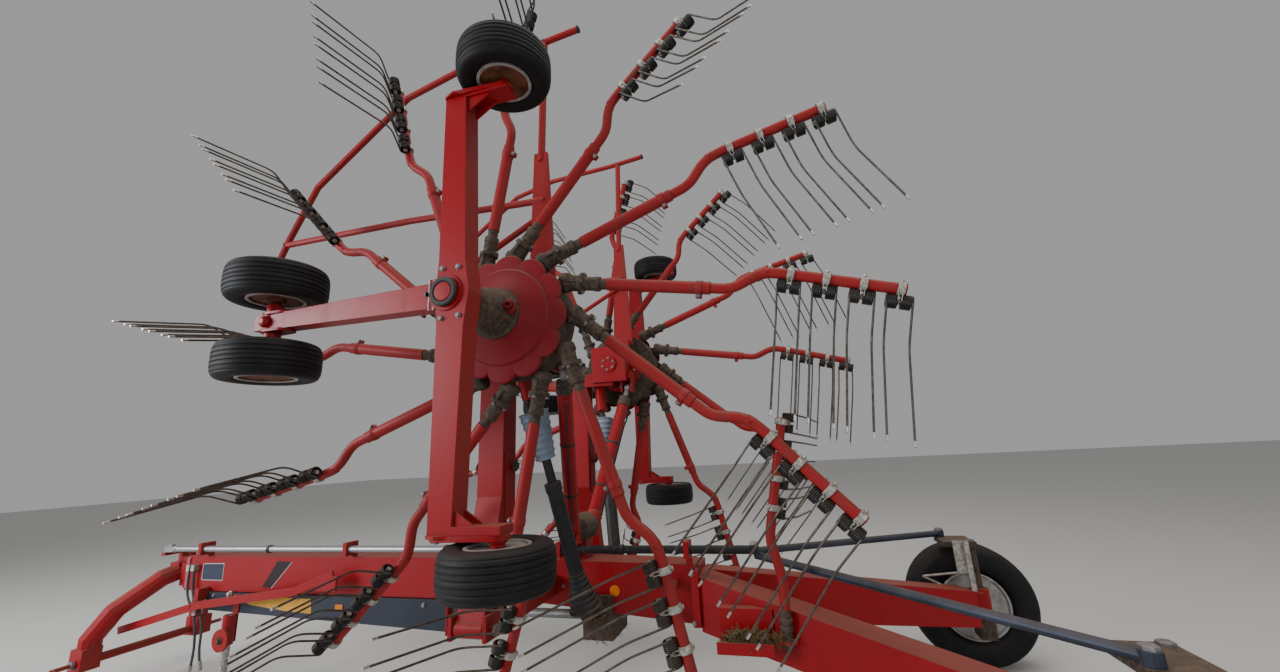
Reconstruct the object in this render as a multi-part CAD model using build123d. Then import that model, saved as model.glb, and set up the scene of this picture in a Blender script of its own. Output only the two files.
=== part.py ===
from build123d import *
import math
import os

os.makedirs("parts", exist_ok=True)

# Twin rotor hay rake, folded for transport and parked.
# X points forward, Y to the machine's left, Z up. Millimetres.
# The working frame has its zero on the ground under the rotor axes, ORIGIN_X moves it to the box's middle.

# clearances
PIN_CLEARANCE = 0.05
SLIDE_CLEARANCE = 0.3
SEAT_GAP = 0.3

# overall places
ROTOR_AXIS_Z = 2150.0
ROTOR_PLANE_Y = 900.0
FOLD_PIVOT_X = 270.0
FOLD_PIVOT_Y = 780.0
FOLD_PIVOT_Z = 725.0

# main beam
BEAM_FRONT_X = 3200.0
BEAM_REAR_X = -700.0
BEAM_HALF_WIDTH = 100.0
BEAM_TOP_Z = 890.0
BEAM_BOTTOM_Z = 650.0
BEAM_REAR_TOP_Z = 860.0
BEAM_REAR_BOTTOM_Z = 560.0
BEAM_DROP_X = 600.0
BEAM_TAPER = 250.0

# underslung panel
PANEL_FRONT_X = 3000.0
PANEL_REAR_X = 640.0
PANEL_FRONT_Z = 530.0
PANEL_REAR_Z = 460.0
PANEL_TOP_Z = 645.0
PANEL_HALF_WIDTH = 118.0
PANEL_CHAMFER = 30.0

# parking stand
STAND_X = 2660.0
STAND_Y = 160.0
STAND_LEG_RADIUS = 24.0
STAND_SLEEVE_RADIUS = 38.0
STAND_SLEEVE_LOW_Z = 330.0
STAND_SLEEVE_HIGH_Z = 520.0
STAND_DISC_RADIUS = 72.0
STAND_DISC_Z = 370.0
STAND_FOOT_HALF = 70.0
STAND_FOOT_THICKNESS = 12.0

# steering pivot at the beam's front end
HEAD_PIVOT_X = BEAM_FRONT_X + 160.0
PIVOT_PIN_RADIUS = 22.0
PIVOT_EAR_RADIUS = 55.0
PIVOT_EAR_THICKNESS = 30.0
PIVOT_EAR_SPOTS_Z = (668.0, 842.0)
PIVOT_PIN_BOTTOM_Z = 630.0
PIVOT_PIN_TOP_Z = 905.0
CAP_HALF_WIDTH = 88.0
CAP_INSET = 12.0

# headstock
HEAD_TUBE_RADIUS = 64.0
HEAD_SLEEVE_RADIUS = 56.0
HEAD_SLEEVE_BOTTOM_Z = 706.0
HEAD_SLEEVE_TOP_Z = 834.0
HEAD_FOOT_X = HEAD_PIVOT_X + 360.0
HEAD_FOOT_Y = 345.0
HEAD_SHOULDER_Y = 412.5
HEAD_FOOT_Z = 215.0
HEAD_FOOT_TOP_Z = 330.0
HEAD_FOOT_BOTTOM_Z = 190.0
HEAD_CROSS_RADIUS = 30.0
LINK_PIN_RADIUS = 14.0
LINK_PIN_LENGTH = 120.0
LINK_PIN_MID_Y = HEAD_SHOULDER_Y + LINK_PIN_LENGTH / 2
LINK_PIN_Z = 240.0
STUB_RADIUS = 17.5
STUB_LENGTH = 110.0
STUB_MID_X = 3175.0
STUB_Z = 585.0

# transport wheels
ROAD_WHEEL_RADIUS = 380.0
ROAD_WHEEL_HALF_WIDTH = 132.0
ROAD_WHEEL_Y = 1130.0
ROAD_RIM_RADIUS = 200.0
ROAD_HUB_HALF = 60.0
ROAD_DISH = 30.0
ROAD_SIDES = 32

# rear fork, knuckles and tie rods
FORK_ROOT = (-640.0, 40.0)
FORK_TIP = (-2215.0, 790.0)
FORK_HALF_WIDTH = 80.0
FORK_ROOT_TOP_Z = 830.0
FORK_ROOT_BOTTOM_Z = 560.0
FORK_TIP_TOP_Z = 545.0
FORK_TIP_BOTTOM_Z = 345.0
KNUCKLE_X = -2310.0
KNUCKLE_Y = 870.0
KINGPIN_RADIUS = 24.5
KINGPIN_SLEEVE_RADIUS = 52.0
KINGPIN_SLEEVE_LOW_Z = 365.0
KINGPIN_SLEEVE_HIGH_Z = 530.0
STEER_ARM_GAP = 18.0
STEER_ARM_THICKNESS = 30.0
STEER_ARM_Z = 2 * ROAD_WHEEL_RADIUS + STEER_ARM_GAP
STEER_ARM_TOP_Z = STEER_ARM_Z + STEER_ARM_THICKNESS
STEER_ARM_REAR_X = -2150.0
STEER_ARM_OUTER_Y = 1075.0
AXLE_RADIUS = 38.0
TIE_RADIUS = 20.0
TIE_EYE_RADIUS = 30.0
TIE_FRONT = (-1010.0, 60.0, 904.6)
TIE_REAR = (-2180.0, 1040.0, STEER_ARM_TOP_Z + 22.0)
ORIGIN_X = (HEAD_FOOT_X + HEAD_TUBE_RADIUS + KNUCKLE_X - ROAD_WHEEL_RADIUS) / 2

# steering rod over the beam
STEER_ROD_RADIUS = 22.0
STEER_ROD_Y = 125.0
STEER_ROD_Z = 945.0
STEER_ROD_FRONT_X = HEAD_PIVOT_X - 10.0
STEER_ROD_REAR_X = -985.0
STEER_EYE_HALF = 20.0
ROD_SUPPORT_SPOTS_X = (3050.0, 1700.0, 128.0, -640.0)

# drive shafts from the centre gearbox to the rotors
SHAFT_X = -95.0
SHAFT_LOW_Y = 262.0
SHAFT_LOW_Z = 640.0
SHAFT_LOW = (SHAFT_X, SHAFT_LOW_Y, SHAFT_LOW_Z)
SHAFT_HIGH = (85.0, 555.0, 1775.0)
CROSS_RADIUS = 30.0
CROSS_HALF = 28.0
SHAFT_BALL_RADIUS = 26.0
INNER_SHAFT_RADIUS = 25.0
OUTER_SHAFT_RADIUS = 40.0
GEAR_INPUT_RADIUS = 42.0

# fold cylinders, from the tower on the beam to the folding arms
RAM_LOW = (40.0, 130.0, 1010.0)
RAM_HIGH = (-120.0, 580.0, 1965.0)
RAM_PIN_RADIUS = 14.0
RAM_EYE_RADIUS = 27.0
RAM_EYE_HALF = 18.0
RAM_ROD_RADIUS = 20.0
RAM_BARREL_RADIUS = 42.0
RAM_NECK_RADIUS = 16.0
RAM_LUG_SPREAD = 34.0
RAM_LUG_HALF = 6.0
RAM_HEAD = 90.0

# tower
TOWER_X = 45.0
TOWER_HALF = 55.0
TOWER_DRUM_RADIUS = 80.0
TOWER_DRUM_HALF = 85.0
TOWER_DRUM_Z = 1050.0

# rotor arms, each arm's path is given by distances along its tip's radius and beside it
ARM_COUNT = 12
ARM_FIRST_DEG = 56.9
ARM_STEP_DEG = 30.0
CASTING_PATH = ((262.0, 175.0), (400.0, 158.0))
STUB_PATH = ((400.5, 158.0), (500.0, 145.0))
SOCKET_PATH = ((500.0, 145.0), (990.0, 81.6))
ARM_PATH = ((990.0, 81.6), (1080.0, 70.0), (1200.0, 130.0), (1260.0, 128.0), (1765.0, 5.0))
CASTING_RADIUS = 52.0
ARM_STUB_RADIUS = 22.0
SOCKET_RADIUS = 29.0
ARM_RADIUS = 24.0

# clamps, coils and tines
CLAMP_STATIONS = (1330.0, 1470.0, 1610.0, 1745.0)
CLAMP_SIZE = (26.0, 58.0, 74.0)
CLAMP_DROP = 8.0
COIL_RADIUS = 31.0
COIL_HALF_LENGTH = 50.0
COIL_SIDES = 6
COIL_DROP = 52.0
TINE_INSET = 7.0
TINE_ROOT_DROP = 60.0
TINE_UPPER_LENGTH = 165.0
TINE_LOWER_LENGTH = 400.0
TINE_HALF = 5.0
TINE_BEND_DEG = 25.0
TINE_SPLAY_DEG = 7.7
# pitch of each arm's tines about the arm, 0 is straight down in work, 90 is trailing in the rotor's plane
TINE_PITCH_DEG = (72.0, 96.0, 102.0, 98.0, 76.0, 42.0, 16.0, 13.0, 14.0, 20.0, 18.0, 42.0)

# rotor hub
DRUM_RADIUS = 290.0
DRUM_INNER_Y = 790.0
DRUM_OUTER_Y = 965.0
DISC_RADIUS = 322.0
DISC_THICKNESS = 14.0
LOBE_DEPTH = 46.0
LOBE_STEPS = 8
DISH_RADIUS = 225.0
DISH_TOP_RADIUS = 100.0
DISH_TOP_Y = 1080.0
NOSE_RADIUS = 85.0
HUB_NOSE_Y = 1230.0
HUB_SHAFT_RADIUS = 38.0
HUB_SIDES = 36

# rotor gearbox
GEAR_CASE_RADIUS = 190.0
GEAR_CASE_Y = (640.0, DRUM_INNER_Y - 10.0)
GEAR_TOP_RADIUS = 120.0
GEAR_TOP_Y = (500.0, 645.0)
GEAR_BOX_HALF = 135.0
GEAR_BOX_Y = (492.0, 560.0)
GEAR_DISC_RADIUS = 62.0
GEAR_DISC_Y = (482.0, 500.0)

# folding arm
SLEEVE_REAR_X = 196.0
SLEEVE_FRONT_X = 344.0
SLEEVE_RADIUS = 42.0
FOLD_PIN_RADIUS = 20.0
COLUMN_OUTLINE = (
    (FOLD_PIVOT_Y - 35.0, FOLD_PIVOT_Z + 10.0),
    (FOLD_PIVOT_Y + 30.0, FOLD_PIVOT_Z + 10.0),
    (660.0, 1300.0),
    (640.0, 2060.0),
    (520.0, 2060.0),
    (530.0, 1250.0),
)
COLUMN_PLATE_Z = (1180.0, 1520.0)
COLUMN_PLATE_Y = (548.0, 640.0)
COLUMN_PLATE_THICKNESS = 8.0
COLUMN_PIN = (585.0, 1450.0)
COLUMN_PIN_RADIUS = 20.0
COLUMN_PIN_CAP = 32.0
NECK_Y = (520.0, 640.0)
NECK_Z = (1990.0, 2090.0)
BRIDGE_Z = 2030.0
RAM_BRACKET_GAP = 32.0
RAM_BRACKET_THICKNESS = 10.0
RAM_BRACKET_Y = (540.0, 636.0)

# rotor chassis
CHASSIS_Y = 1350.0
CHASSIS_HALF_DEPTH = 45.0
LATERAL_FRONT_X = 50.0
LATERAL_BULGE_FRONT_X = 60.0
LATERAL_REAR_X = -52.0
LATERAL_FLARE_X = -75.0
LATERAL_BULGE_X = -95.0
LATERAL_FLARE = 140.0
LATERAL_TOP_Z = 3052.0
LATERAL_BOTTOM_Z = 1262.0
CHASSIS_PLATE_REAR_X = -250.0
FORWARD_BEAM_END_X = 1050.0
FORWARD_ROOT_HALF = 55.0
FORWARD_END_HALF = 35.0
FLANGE_X = (62.0, 92.0)
FLANGE_HALF = 66.0
BOSS_X = 10.0
BOSS_RADIUS = 55.0
BOSS_BACK = 62.0
BOSS_FRONT = 60.0
BOSS_RING_RADIUS = 76.0
BOSS_RING = 52.0
WHEEL_Y = 1350.0
TYRE_SHOULDER_SHARE = 0.90
TYRE_TREAD_SHARE = 0.66
RIM_DISC_HALF = 6.0
WHEEL_HUB_SHARE = 0.36
WHEEL_HUB_SIDES = 8
SMALL_WHEEL_RADIUS = 205.0
SMALL_WHEEL_HALF_WIDTH = 82.0
SMALL_RIM_RADIUS = 108.0
SMALL_HUB_HALF = 37.0
SMALL_SIDES = 20
SMALL_AXLE_RADIUS = 20.0
SIDE_DISH = 15.0
FRONT_DISH = 50.0
SIDE_WHEEL_X = -215.0
SIDE_WHEEL_RISE = 1030.0
FRONT_WHEEL_X = 975.0
FRONT_WHEEL_RISE = 182.0

# guard over the rotor, its places are given by x and z
GUARD_Y = 700.0
GUARD_TUBE_RADIUS = 20.0
MAST_OUTLINE = ((-20.0, 3200.0), (-100.0, 3200.0), (-145.0, 2330.0), (15.0, 2330.0))
MAST_Y = (690.0, 712.0)
GUARD_TUBES = (
    # distance from the beam, radius, places
    (GUARD_Y, 22.0, ((-60.0, 3150.0), (-85.0, 3970.0))),
    (
        GUARD_Y,
        GUARD_TUBE_RADIUS,
        (
            (-310.0, 3995.0),
            (-20.0, 3965.0),
            (540.0, 3940.0),
            (910.0, 3850.0),
            (1610.0, 3340.0),
            (1810.0, 2990.0),
            (1890.0, 2820.0),
        ),
    ),
    (GUARD_Y, GUARD_TUBE_RADIUS, ((-80.0, 2900.0), (840.0, 2945.0), (1830.0, 2955.0))),
    (685.0, 18.0, ((-80.0, 2830.0), (330.0, 2620.0), (670.0, 2470.0), (690.0, 2380.0))),
)

# hoses at the front end, each runs from its gland on the beam to the coupling at its free end
HOSE_RADIUS = 8.0
HOSE_GLAND_Z = (790.0, 832.0)
HOSE_GLAND_HALF = 16.0
HOSE_COUPLING_RADIUS = 13.0
HOSE_COUPLING_LENGTH = 62.0
ARC_SHARE = 0.45
HOSE_ROUTES = {
    "front_hose": (
        (3180.0, 122.0, 790.0),
        (3180.0, 122.0, 712.0),
        (3152.0, 133.0, 628.0),
        (3086.0, 146.0, 566.0),
        (3022.0, 158.0, 514.0),
        (2986.0, 160.0, 440.0),
        (2974.0, 157.0, 352.0),
        (2962.0, 160.0, 262.0),
        (2966.0, 164.0, 186.0),
    ),
    "hanging_hose": (
        (3130.0, 122.0, 790.0),
        (3130.0, 122.0, 716.0),
        (3104.0, 128.0, 640.0),
        (3060.0, 134.0, 572.0),
        (3003.0, 136.0, 520.0),
        (2956.0, 138.0, 452.0),
        (2936.0, 144.0, 368.0),
        (2934.0, 146.0, 280.0),
        (2918.0, 143.0, 208.0),
    ),
}
HOSE_CLIP_X = (2984.0, 3018.0)
HOSE_CLIP_Y = (122.0, 174.0)
HOSE_CLIP_THICKNESS = 4.0
HOSE_CLIP_Z = (505.0, 555.0)


def box(x0, x1, y0, y1, z0, z1):
    """A block between two corners."""
    size = Box(x1 - x0, y1 - y0, z1 - z0)
    return Pos((x0 + x1) / 2, (y0 + y1) / 2, (z0 + z1) / 2) * size


def rod(a, b, radius):
    """A round bar from point a to point b."""
    start = Vector(*a)
    run = Vector(*b) - start
    plane = Plane(origin=start, z_dir=run)
    return plane * Pos(0, 0, run.length / 2) * Cylinder(radius, run.length)


def bar(a, b, radius, sides=12):
    """A bar of many sides from point a to point b, where nothing has to turn or slide on it."""
    start = Vector(*a)
    run = Vector(*b) - start
    section = Plane(origin=start, z_dir=run) * RegularPolygon(radius, sides)
    return extrude(section, amount=run.length, dir=run.normalized())


def turned(centre, axis, profile, sides):
    """A form of many sides about an axis, from pairs of distance and radius."""
    plane = Plane(origin=centre, z_dir=axis)
    rings = [Pos(0, 0, distance) * RegularPolygon(radius, sides) for distance, radius in profile]
    return plane * loft(rings, ruled=True)


def prism(points, y0, y1):
    """A side outline given by x and z, from y0 to y1."""
    wire = Polyline(*[(x, 0, z) for x, z in points], close=True)
    face = make_face(wire)
    solid = extrude(face, amount=abs(y1 - y0), dir=(0, 1, 0))
    return Pos(0, min(y0, y1), 0) * solid


def pipe(points, radius, sides=8):
    """A pipe of many sides along straight runs."""
    start = Vector(*points[0])
    run = Vector(*points[1]) - start
    section = Plane(origin=start, z_dir=run) * RegularPolygon(radius, sides)
    return sweep(section, path=Polyline(*points), transition=Transition.RIGHT)


def flat(points, width_dir, width, thick):
    """A bent flat bar along straight runs."""
    start = Vector(*points[0])
    run = Vector(*points[1]) - start
    section = Plane(origin=start, x_dir=width_dir, z_dir=run) * Rectangle(width, thick)
    return sweep(section, path=Polyline(*points), transition=Transition.RIGHT)


def wheel(centre, axis, radius, half_width, rim_radius, sides, dish, hub_half):
    """A plain tyre with a shoulder on each edge, and the rim disc and hub inside it."""
    shoulder_radius = radius * TYRE_SHOULDER_SHARE
    tread_half = half_width * TYRE_TREAD_SHARE
    profile = (
        (-half_width, shoulder_radius),
        (-tread_half, radius),
        (tread_half, radius),
        (half_width, shoulder_radius),
    )
    middle = Vector(*centre)
    along = Vector(*axis)
    bore = bar(middle - along * (2 * half_width), middle + along * (2 * half_width), rim_radius, sides)
    disc = bar(middle + along * (dish - RIM_DISC_HALF), middle + along * (dish + RIM_DISC_HALF), rim_radius, sides)
    hub_radius = rim_radius * WHEEL_HUB_SHARE
    hub = bar(middle + along * (dish - hub_half), middle + along * (dish + hub_half), hub_radius, WHEEL_HUB_SIDES)
    return turned(centre, axis, profile, sides) - bore + disc + hub


def hose(route):
    """A round hose along its route, and the radii of its bends, each a share of the shorter run."""
    points = [Vector(*point) for point in route]
    radii = []
    for before, here, after in zip(points, points[1:], points[2:]):
        turn = math.radians((here - before).get_angle(after - here))
        shorter = min((here - before).length, (after - here).length)
        radii.append(ARC_SHARE * shorter / math.tan(turn / 2))
    path = FilletPolyline(*points, radius=radii)
    section = Plane(origin=points[0], z_dir=points[1] - points[0]) * Circle(HOSE_RADIUS)
    return sweep(section, path=path), radii


def shift(shape):
    """From the working frame to the part's own frame."""
    return Pos(-ORIGIN_X, 0, 0) * shape


MADE = {}


def keep(name, shapes):
    """Write one named piece, or several solids under one name."""
    parts = shapes if isinstance(shapes, (list, tuple)) else [shapes]
    solids = []
    for part in parts:
        solids.extend(shift(part).solids())
    whole = Compound(children=solids) if len(solids) > 1 else solids[0]
    whole.label = name
    export_step(whole, f"parts/{name}.step")
    MADE[name] = whole


def keep_pair(name, shapes):
    """Write the left piece and its mirror image for the right."""
    parts = shapes if isinstance(shapes, (list, tuple)) else [shapes]
    keep(name + "_left", parts)
    keep(name + "_right", [mirror(part, about=Plane.XZ) for part in parts])


def unfolded(point):
    """Where a point of the folding arm lies with the arm let down."""
    x, y, z = point
    return (x, FOLD_PIVOT_Y + (z - FOLD_PIVOT_Z), FOLD_PIVOT_Z - (y - FOLD_PIVOT_Y))


def swing_axis(low, high):
    """The axis, nearly X, about which a line from low to high turns as the arm is let down."""
    start = (Vector(*high) - Vector(*low)).normalized()
    finish = (Vector(*unfolded(high)) - Vector(*low)).normalized()
    change = start - finish
    share = -change.X / (change.Y**2 + change.Z**2)
    return Vector(1.0, change.Y * share, change.Z * share).normalized()


def cross_rod(centre, axis, half, radius):
    """A round bar about a point, along a swing axis."""
    middle = Vector(*centre)
    return rod(tuple(middle - axis * half), tuple(middle + axis * half), radius)


ram_axis = swing_axis(RAM_LOW, RAM_HIGH)
shaft_axis = swing_axis(SHAFT_LOW, SHAFT_HIGH)

# main beam with its deeper rear end
beam_outline = (
    (BEAM_FRONT_X, BEAM_BOTTOM_Z),
    (BEAM_FRONT_X, BEAM_TOP_Z),
    (BEAM_DROP_X, BEAM_TOP_Z),
    (BEAM_REAR_X, BEAM_REAR_TOP_Z),
    (BEAM_REAR_X, BEAM_REAR_BOTTOM_Z),
    (BEAM_DROP_X - BEAM_TAPER, BEAM_BOTTOM_Z),
)
main_beam = prism(beam_outline, -BEAM_HALF_WIDTH, BEAM_HALF_WIDTH)
keep("main_beam", main_beam)

# front end cap and the fixed part of the steering pivot
cap_end_x = HEAD_PIVOT_X - 75.0
cap_z = (BEAM_BOTTOM_Z + CAP_INSET, BEAM_TOP_Z - CAP_INSET)
pivot_pin_ends = [(HEAD_PIVOT_X, 0, z) for z in (PIVOT_PIN_BOTTOM_Z, PIVOT_PIN_TOP_Z)]
end_pivot = box(BEAM_FRONT_X, cap_end_x, -CAP_HALF_WIDTH, CAP_HALF_WIDTH, *cap_z)
end_pivot += rod(*pivot_pin_ends, PIVOT_PIN_RADIUS)
for ear_z in PIVOT_EAR_SPOTS_Z:
    ear_top = ear_z + PIVOT_EAR_THICKNESS
    end_pivot += box(cap_end_x, HEAD_PIVOT_X, -PIVOT_EAR_RADIUS, PIVOT_EAR_RADIUS, ear_z, ear_top)
    end_pivot += bar((HEAD_PIVOT_X, 0, ear_z), (HEAD_PIVOT_X, 0, ear_top), PIVOT_EAR_RADIUS, 24)
keep("beam_end_pivot", end_pivot)

# dark panel bolted under the beam
panel_outline = (
    (PANEL_FRONT_X, PANEL_FRONT_Z + PANEL_CHAMFER),
    (PANEL_FRONT_X - 2 * PANEL_CHAMFER, PANEL_TOP_Z),
    (PANEL_REAR_X, PANEL_TOP_Z),
    (PANEL_REAR_X, PANEL_REAR_Z),
    (PANEL_FRONT_X - PANEL_CHAMFER, PANEL_FRONT_Z),
)
panel = prism(panel_outline, -PANEL_HALF_WIDTH, PANEL_HALF_WIDTH)
keep("underslung_panel", panel)

# drive line: input stub in front of the panel, and the run between panel and centre gearbox
STUB_SHOULDER_X = STUB_MID_X - STUB_LENGTH / 2
FRONT_BEARING_RADIUS = 40.0
REAR_RUN_Z = 560.0
REAR_RUN_RADIUS = 26.0
stub = rod((PANEL_FRONT_X, 0, STUB_Z), (STUB_MID_X + STUB_LENGTH / 2, 0, STUB_Z), STUB_RADIUS)
front_bearing = bar((PANEL_FRONT_X - 60.0, 0, STUB_Z), (STUB_SHOULDER_X, 0, STUB_Z), FRONT_BEARING_RADIUS, 16)
rear_run = bar((PANEL_REAR_X, 0, REAR_RUN_Z), (-10.0, 0, REAR_RUN_Z), REAR_RUN_RADIUS)
keep("input_drive", [front_bearing + stub - panel, rear_run])

# centre gearbox under the beam with an output each side
GEAR_BLOCK = (-190.0, -10.0, -130.0, 130.0, 470.0, 700.0)
GEAR_OUTPUT_Y = 180.0
GEAR_OUTPUT_RADIUS = 46.0
GEAR_STUB_RADIUS = 18.0
case = box(*GEAR_BLOCK)
output_ends = [(SHAFT_X, y, SHAFT_LOW_Z) for y in (-GEAR_OUTPUT_Y, GEAR_OUTPUT_Y)]
outputs = bar(*output_ends, GEAR_OUTPUT_RADIUS, 16)
output_stub_ends = [(SHAFT_X, y, SHAFT_LOW_Z) for y in (-SHAFT_LOW_Y, SHAFT_LOW_Y)]
output_stubs = bar(*output_stub_ends, GEAR_STUB_RADIUS)
cross_left = cross_rod(SHAFT_LOW, shaft_axis, CROSS_HALF, CROSS_RADIUS)
crosses = cross_left + mirror(cross_left, about=Plane.XZ)
keep("centre_gearbox", case + outputs + output_stubs + crosses - main_beam)

# outriggers that carry the folding arms, each with a lever on its fold pin's front end
OUTRIGGER_X = (170.0, 370.0)
OUTRIGGER_END_Y = 660.0
OUTRIGGER_Z = (690.0, 800.0)
CHEEK_SPOTS_X = (168.0, 352.0)
CHEEK_THICKNESS = 20.0
CHEEK_Y = (640.0, FOLD_PIVOT_Y + 45.0)
CHEEK_Z = (680.0, 790.0)
FOLD_PIN_X = (150.0, 405.0)
LEVER_X = (393.0, 403.0)
LEVER_Y = (FOLD_PIVOT_Y - 20.0, FOLD_PIVOT_Y + 20.0)
LEVER_Z = (FOLD_PIVOT_Z - 30.0, 850.0)
outrigger = box(*OUTRIGGER_X, BEAM_HALF_WIDTH, OUTRIGGER_END_Y, *OUTRIGGER_Z)
for cheek_x in CHEEK_SPOTS_X:
    outrigger += box(cheek_x, cheek_x + CHEEK_THICKNESS, *CHEEK_Y, *CHEEK_Z)
fold_pin_ends = [(x, FOLD_PIVOT_Y, FOLD_PIVOT_Z) for x in FOLD_PIN_X]
lever = box(*LEVER_X, *LEVER_Y, *LEVER_Z)
keep_pair("outrigger", outrigger + rod(*fold_pin_ends, FOLD_PIN_RADIUS) + lever)

# tower on the beam with a drum and the lugs of both fold cylinders
TOWER_BASE_Z = 850.0
LUG_ROOT_Y = 50.0
LUG_END_Y = RAM_LOW[1] + 22.0
LUG_BELOW = 34.0
LUG_ABOVE = 30.0
LUG_PIN_HALF = 42.0
tower = box(TOWER_X - TOWER_HALF, TOWER_X + TOWER_HALF, -TOWER_HALF, TOWER_HALF, TOWER_BASE_Z, TOWER_DRUM_Z)
drum_ends = [(TOWER_X, side * TOWER_DRUM_HALF, TOWER_DRUM_Z) for side in (-1.0, 1.0)]
tower += bar(*drum_ends, TOWER_DRUM_RADIUS, 24)
for side in (1.0, -1.0):
    lug_y = sorted((side * LUG_ROOT_Y, side * LUG_END_Y))
    for offset in (-RAM_LUG_SPREAD, RAM_LUG_SPREAD):
        lug_x = RAM_LOW[0] + offset
        lug_z = (RAM_LOW[2] - LUG_BELOW, RAM_LOW[2] + LUG_ABOVE)
        tower += box(lug_x - RAM_LUG_HALF, lug_x + RAM_LUG_HALF, *lug_y, *lug_z)
    side_axis = Vector(ram_axis.X, side * ram_axis.Y, ram_axis.Z)
    tower += cross_rod((RAM_LOW[0], side * RAM_LOW[1], RAM_LOW[2]), side_axis, LUG_PIN_HALF, RAM_PIN_RADIUS)
keep("centre_tower", tower - main_beam)

# rear fork arms with the sleeves of the kingpins
FORK_REACH = 1000.0
FORK_END_Y = 840.0
FORK_END_HALF = 60.0
FORK_END_Z = (375.0, 520.0)
fork_arms = {}
for side, sign in (("left", 1.0), ("right", -1.0)):
    root = Vector(FORK_ROOT[0], sign * FORK_ROOT[1], 0)
    tip = Vector(FORK_TIP[0], sign * FORK_TIP[1], 0)
    run = tip - root
    normal = Vector(-run.Y, run.X, 0).normalized()
    corners = [
        root + Vector(0, 0, FORK_ROOT_TOP_Z),
        tip + Vector(0, 0, FORK_TIP_TOP_Z),
        tip + Vector(0, 0, FORK_TIP_BOTTOM_Z),
        root + Vector(0, 0, FORK_ROOT_BOTTOM_Z),
    ]
    face = make_face(Polyline(*[corner - normal * FORK_HALF_WIDTH for corner in corners], close=True))
    arm = extrude(face, amount=2 * FORK_HALF_WIDTH, dir=normal)
    other_side = sorted((0.0, -sign * FORK_REACH))
    arm -= box(FORK_ROOT[0] - FORK_REACH, BEAM_REAR_X, *other_side, 0.0, FORK_REACH)
    arm -= box(BEAM_REAR_X, FORK_ROOT[0] + FORK_REACH, -FORK_REACH, FORK_REACH, 0.0, FORK_REACH)
    pin_y = sign * KNUCKLE_Y
    kingpin_sleeve_ends = [(KNUCKLE_X, pin_y, z) for z in (KINGPIN_SLEEVE_LOW_Z, KINGPIN_SLEEVE_HIGH_Z)]
    arm += bar(*kingpin_sleeve_ends, KINGPIN_SLEEVE_RADIUS, 20)
    end_y = sorted((sign * (FORK_END_Y - FORK_END_HALF), sign * (FORK_END_Y + FORK_END_HALF)))
    arm += box(KNUCKLE_X, FORK_TIP[0] + FORK_END_HALF, *end_y, *FORK_END_Z)
    bore = rod((KNUCKLE_X, pin_y, 0.0), (KNUCKLE_X, pin_y, FORK_REACH), KINGPIN_RADIUS + PIN_CLEARANCE)
    fork_arms[side] = arm - bore
    keep("fork_arm_" + side, fork_arms[side])

# plate with two pins at the beam's rear end
END_PLATE_LENGTH = 40.0
END_PLATE_Y = (BEAM_HALF_WIDTH, 175.0)
END_PLATE_Z = (570.0, 850.0)
REAR_PIN_X = -560.0
REAR_PIN_END_Y = 190.0
REAR_PIN_RADIUS = 22.0
REAR_PIN_SPOTS_Z = (620.0, 765.0)
end_plate = box(BEAM_REAR_X, BEAM_REAR_X + END_PLATE_LENGTH, *END_PLATE_Y, *END_PLATE_Z)
rear_pins = [
    bar((REAR_PIN_X, BEAM_HALF_WIDTH, z), (REAR_PIN_X, REAR_PIN_END_Y, z), REAR_PIN_RADIUS, 16)
    for z in REAR_PIN_SPOTS_Z
]
keep("rear_bracket", [end_plate] + rear_pins)

# tray beside the left fork arm
TRAY_X = (-1080.0, -820.0)
TRAY_PLATES = (
    # y from, y to, z from, z to
    (330.0, 470.0, 560.0, 570.0),
    (462.0, 470.0, 570.0, 610.0),
    (290.0, 345.0, 560.0, 720.0),
)
tray = box(*TRAY_X, *TRAY_PLATES[0])
for plate in TRAY_PLATES[1:]:
    tray += box(*TRAY_X, *plate)
keep("side_tray", tray - fork_arms["left"])

# supports that hold the steering rod over the beam
SUPPORT_HALF = 15.0
SUPPORT_POST_Y = (60.0, 100.0)
SUPPORT_POST_Z = (850.0, 990.0)
SUPPORT_RING_Y = (95.0, 160.0)
SUPPORT_RING_Z = (905.0, 990.0)
supports = []
for x in ROD_SUPPORT_SPOTS_X:
    spot = (x - SUPPORT_HALF, x + SUPPORT_HALF)
    ring_ends = [(end, STEER_ROD_Y, STEER_ROD_Z) for end in spot]
    support = box(*spot, *SUPPORT_POST_Y, *SUPPORT_POST_Z) + box(*spot, *SUPPORT_RING_Y, *SUPPORT_RING_Z)
    supports.append(support - rod(*ring_ends, STEER_ROD_RADIUS + SLIDE_CLEARANCE) - main_beam)
keep("rod_supports", supports)

# lug and the long flat bar hung in it
LUG_BLOCK = (2975.0, 3015.0, BEAM_HALF_WIDTH, 175.0, 600.0, 680.0)
LUG_LOW_BLOCK = (2980.0, 3010.0, 125.0, 150.0, 555.0, 610.0)
LUG_PIN = ((2995.0, 125.0, 575.0), (2995.0, 215.0, 575.0))
LUG_PIN_RADIUS = 14.0
SIDE_BAR_PATH = (
    (3690.0, 208.0, 392.0),
    (2920.0, 205.0, 585.0),
    (2060.0, 200.0, 690.0),
    (1730.0, 200.0, 800.0),
)
SIDE_BAR_WIDTH = 52.0
SIDE_BAR_THICKNESS = 14.0
SIDE_BAR_END = (1700.0, 1860.0, 193.0, 207.0, 700.0, 790.0)
side_bar = flat(SIDE_BAR_PATH, (0, 0, 1), SIDE_BAR_WIDTH, SIDE_BAR_THICKNESS)
side_bar += box(*LUG_BLOCK) + box(*LUG_LOW_BLOCK) + box(*SIDE_BAR_END) + bar(*LUG_PIN, LUG_PIN_RADIUS, 16)
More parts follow.
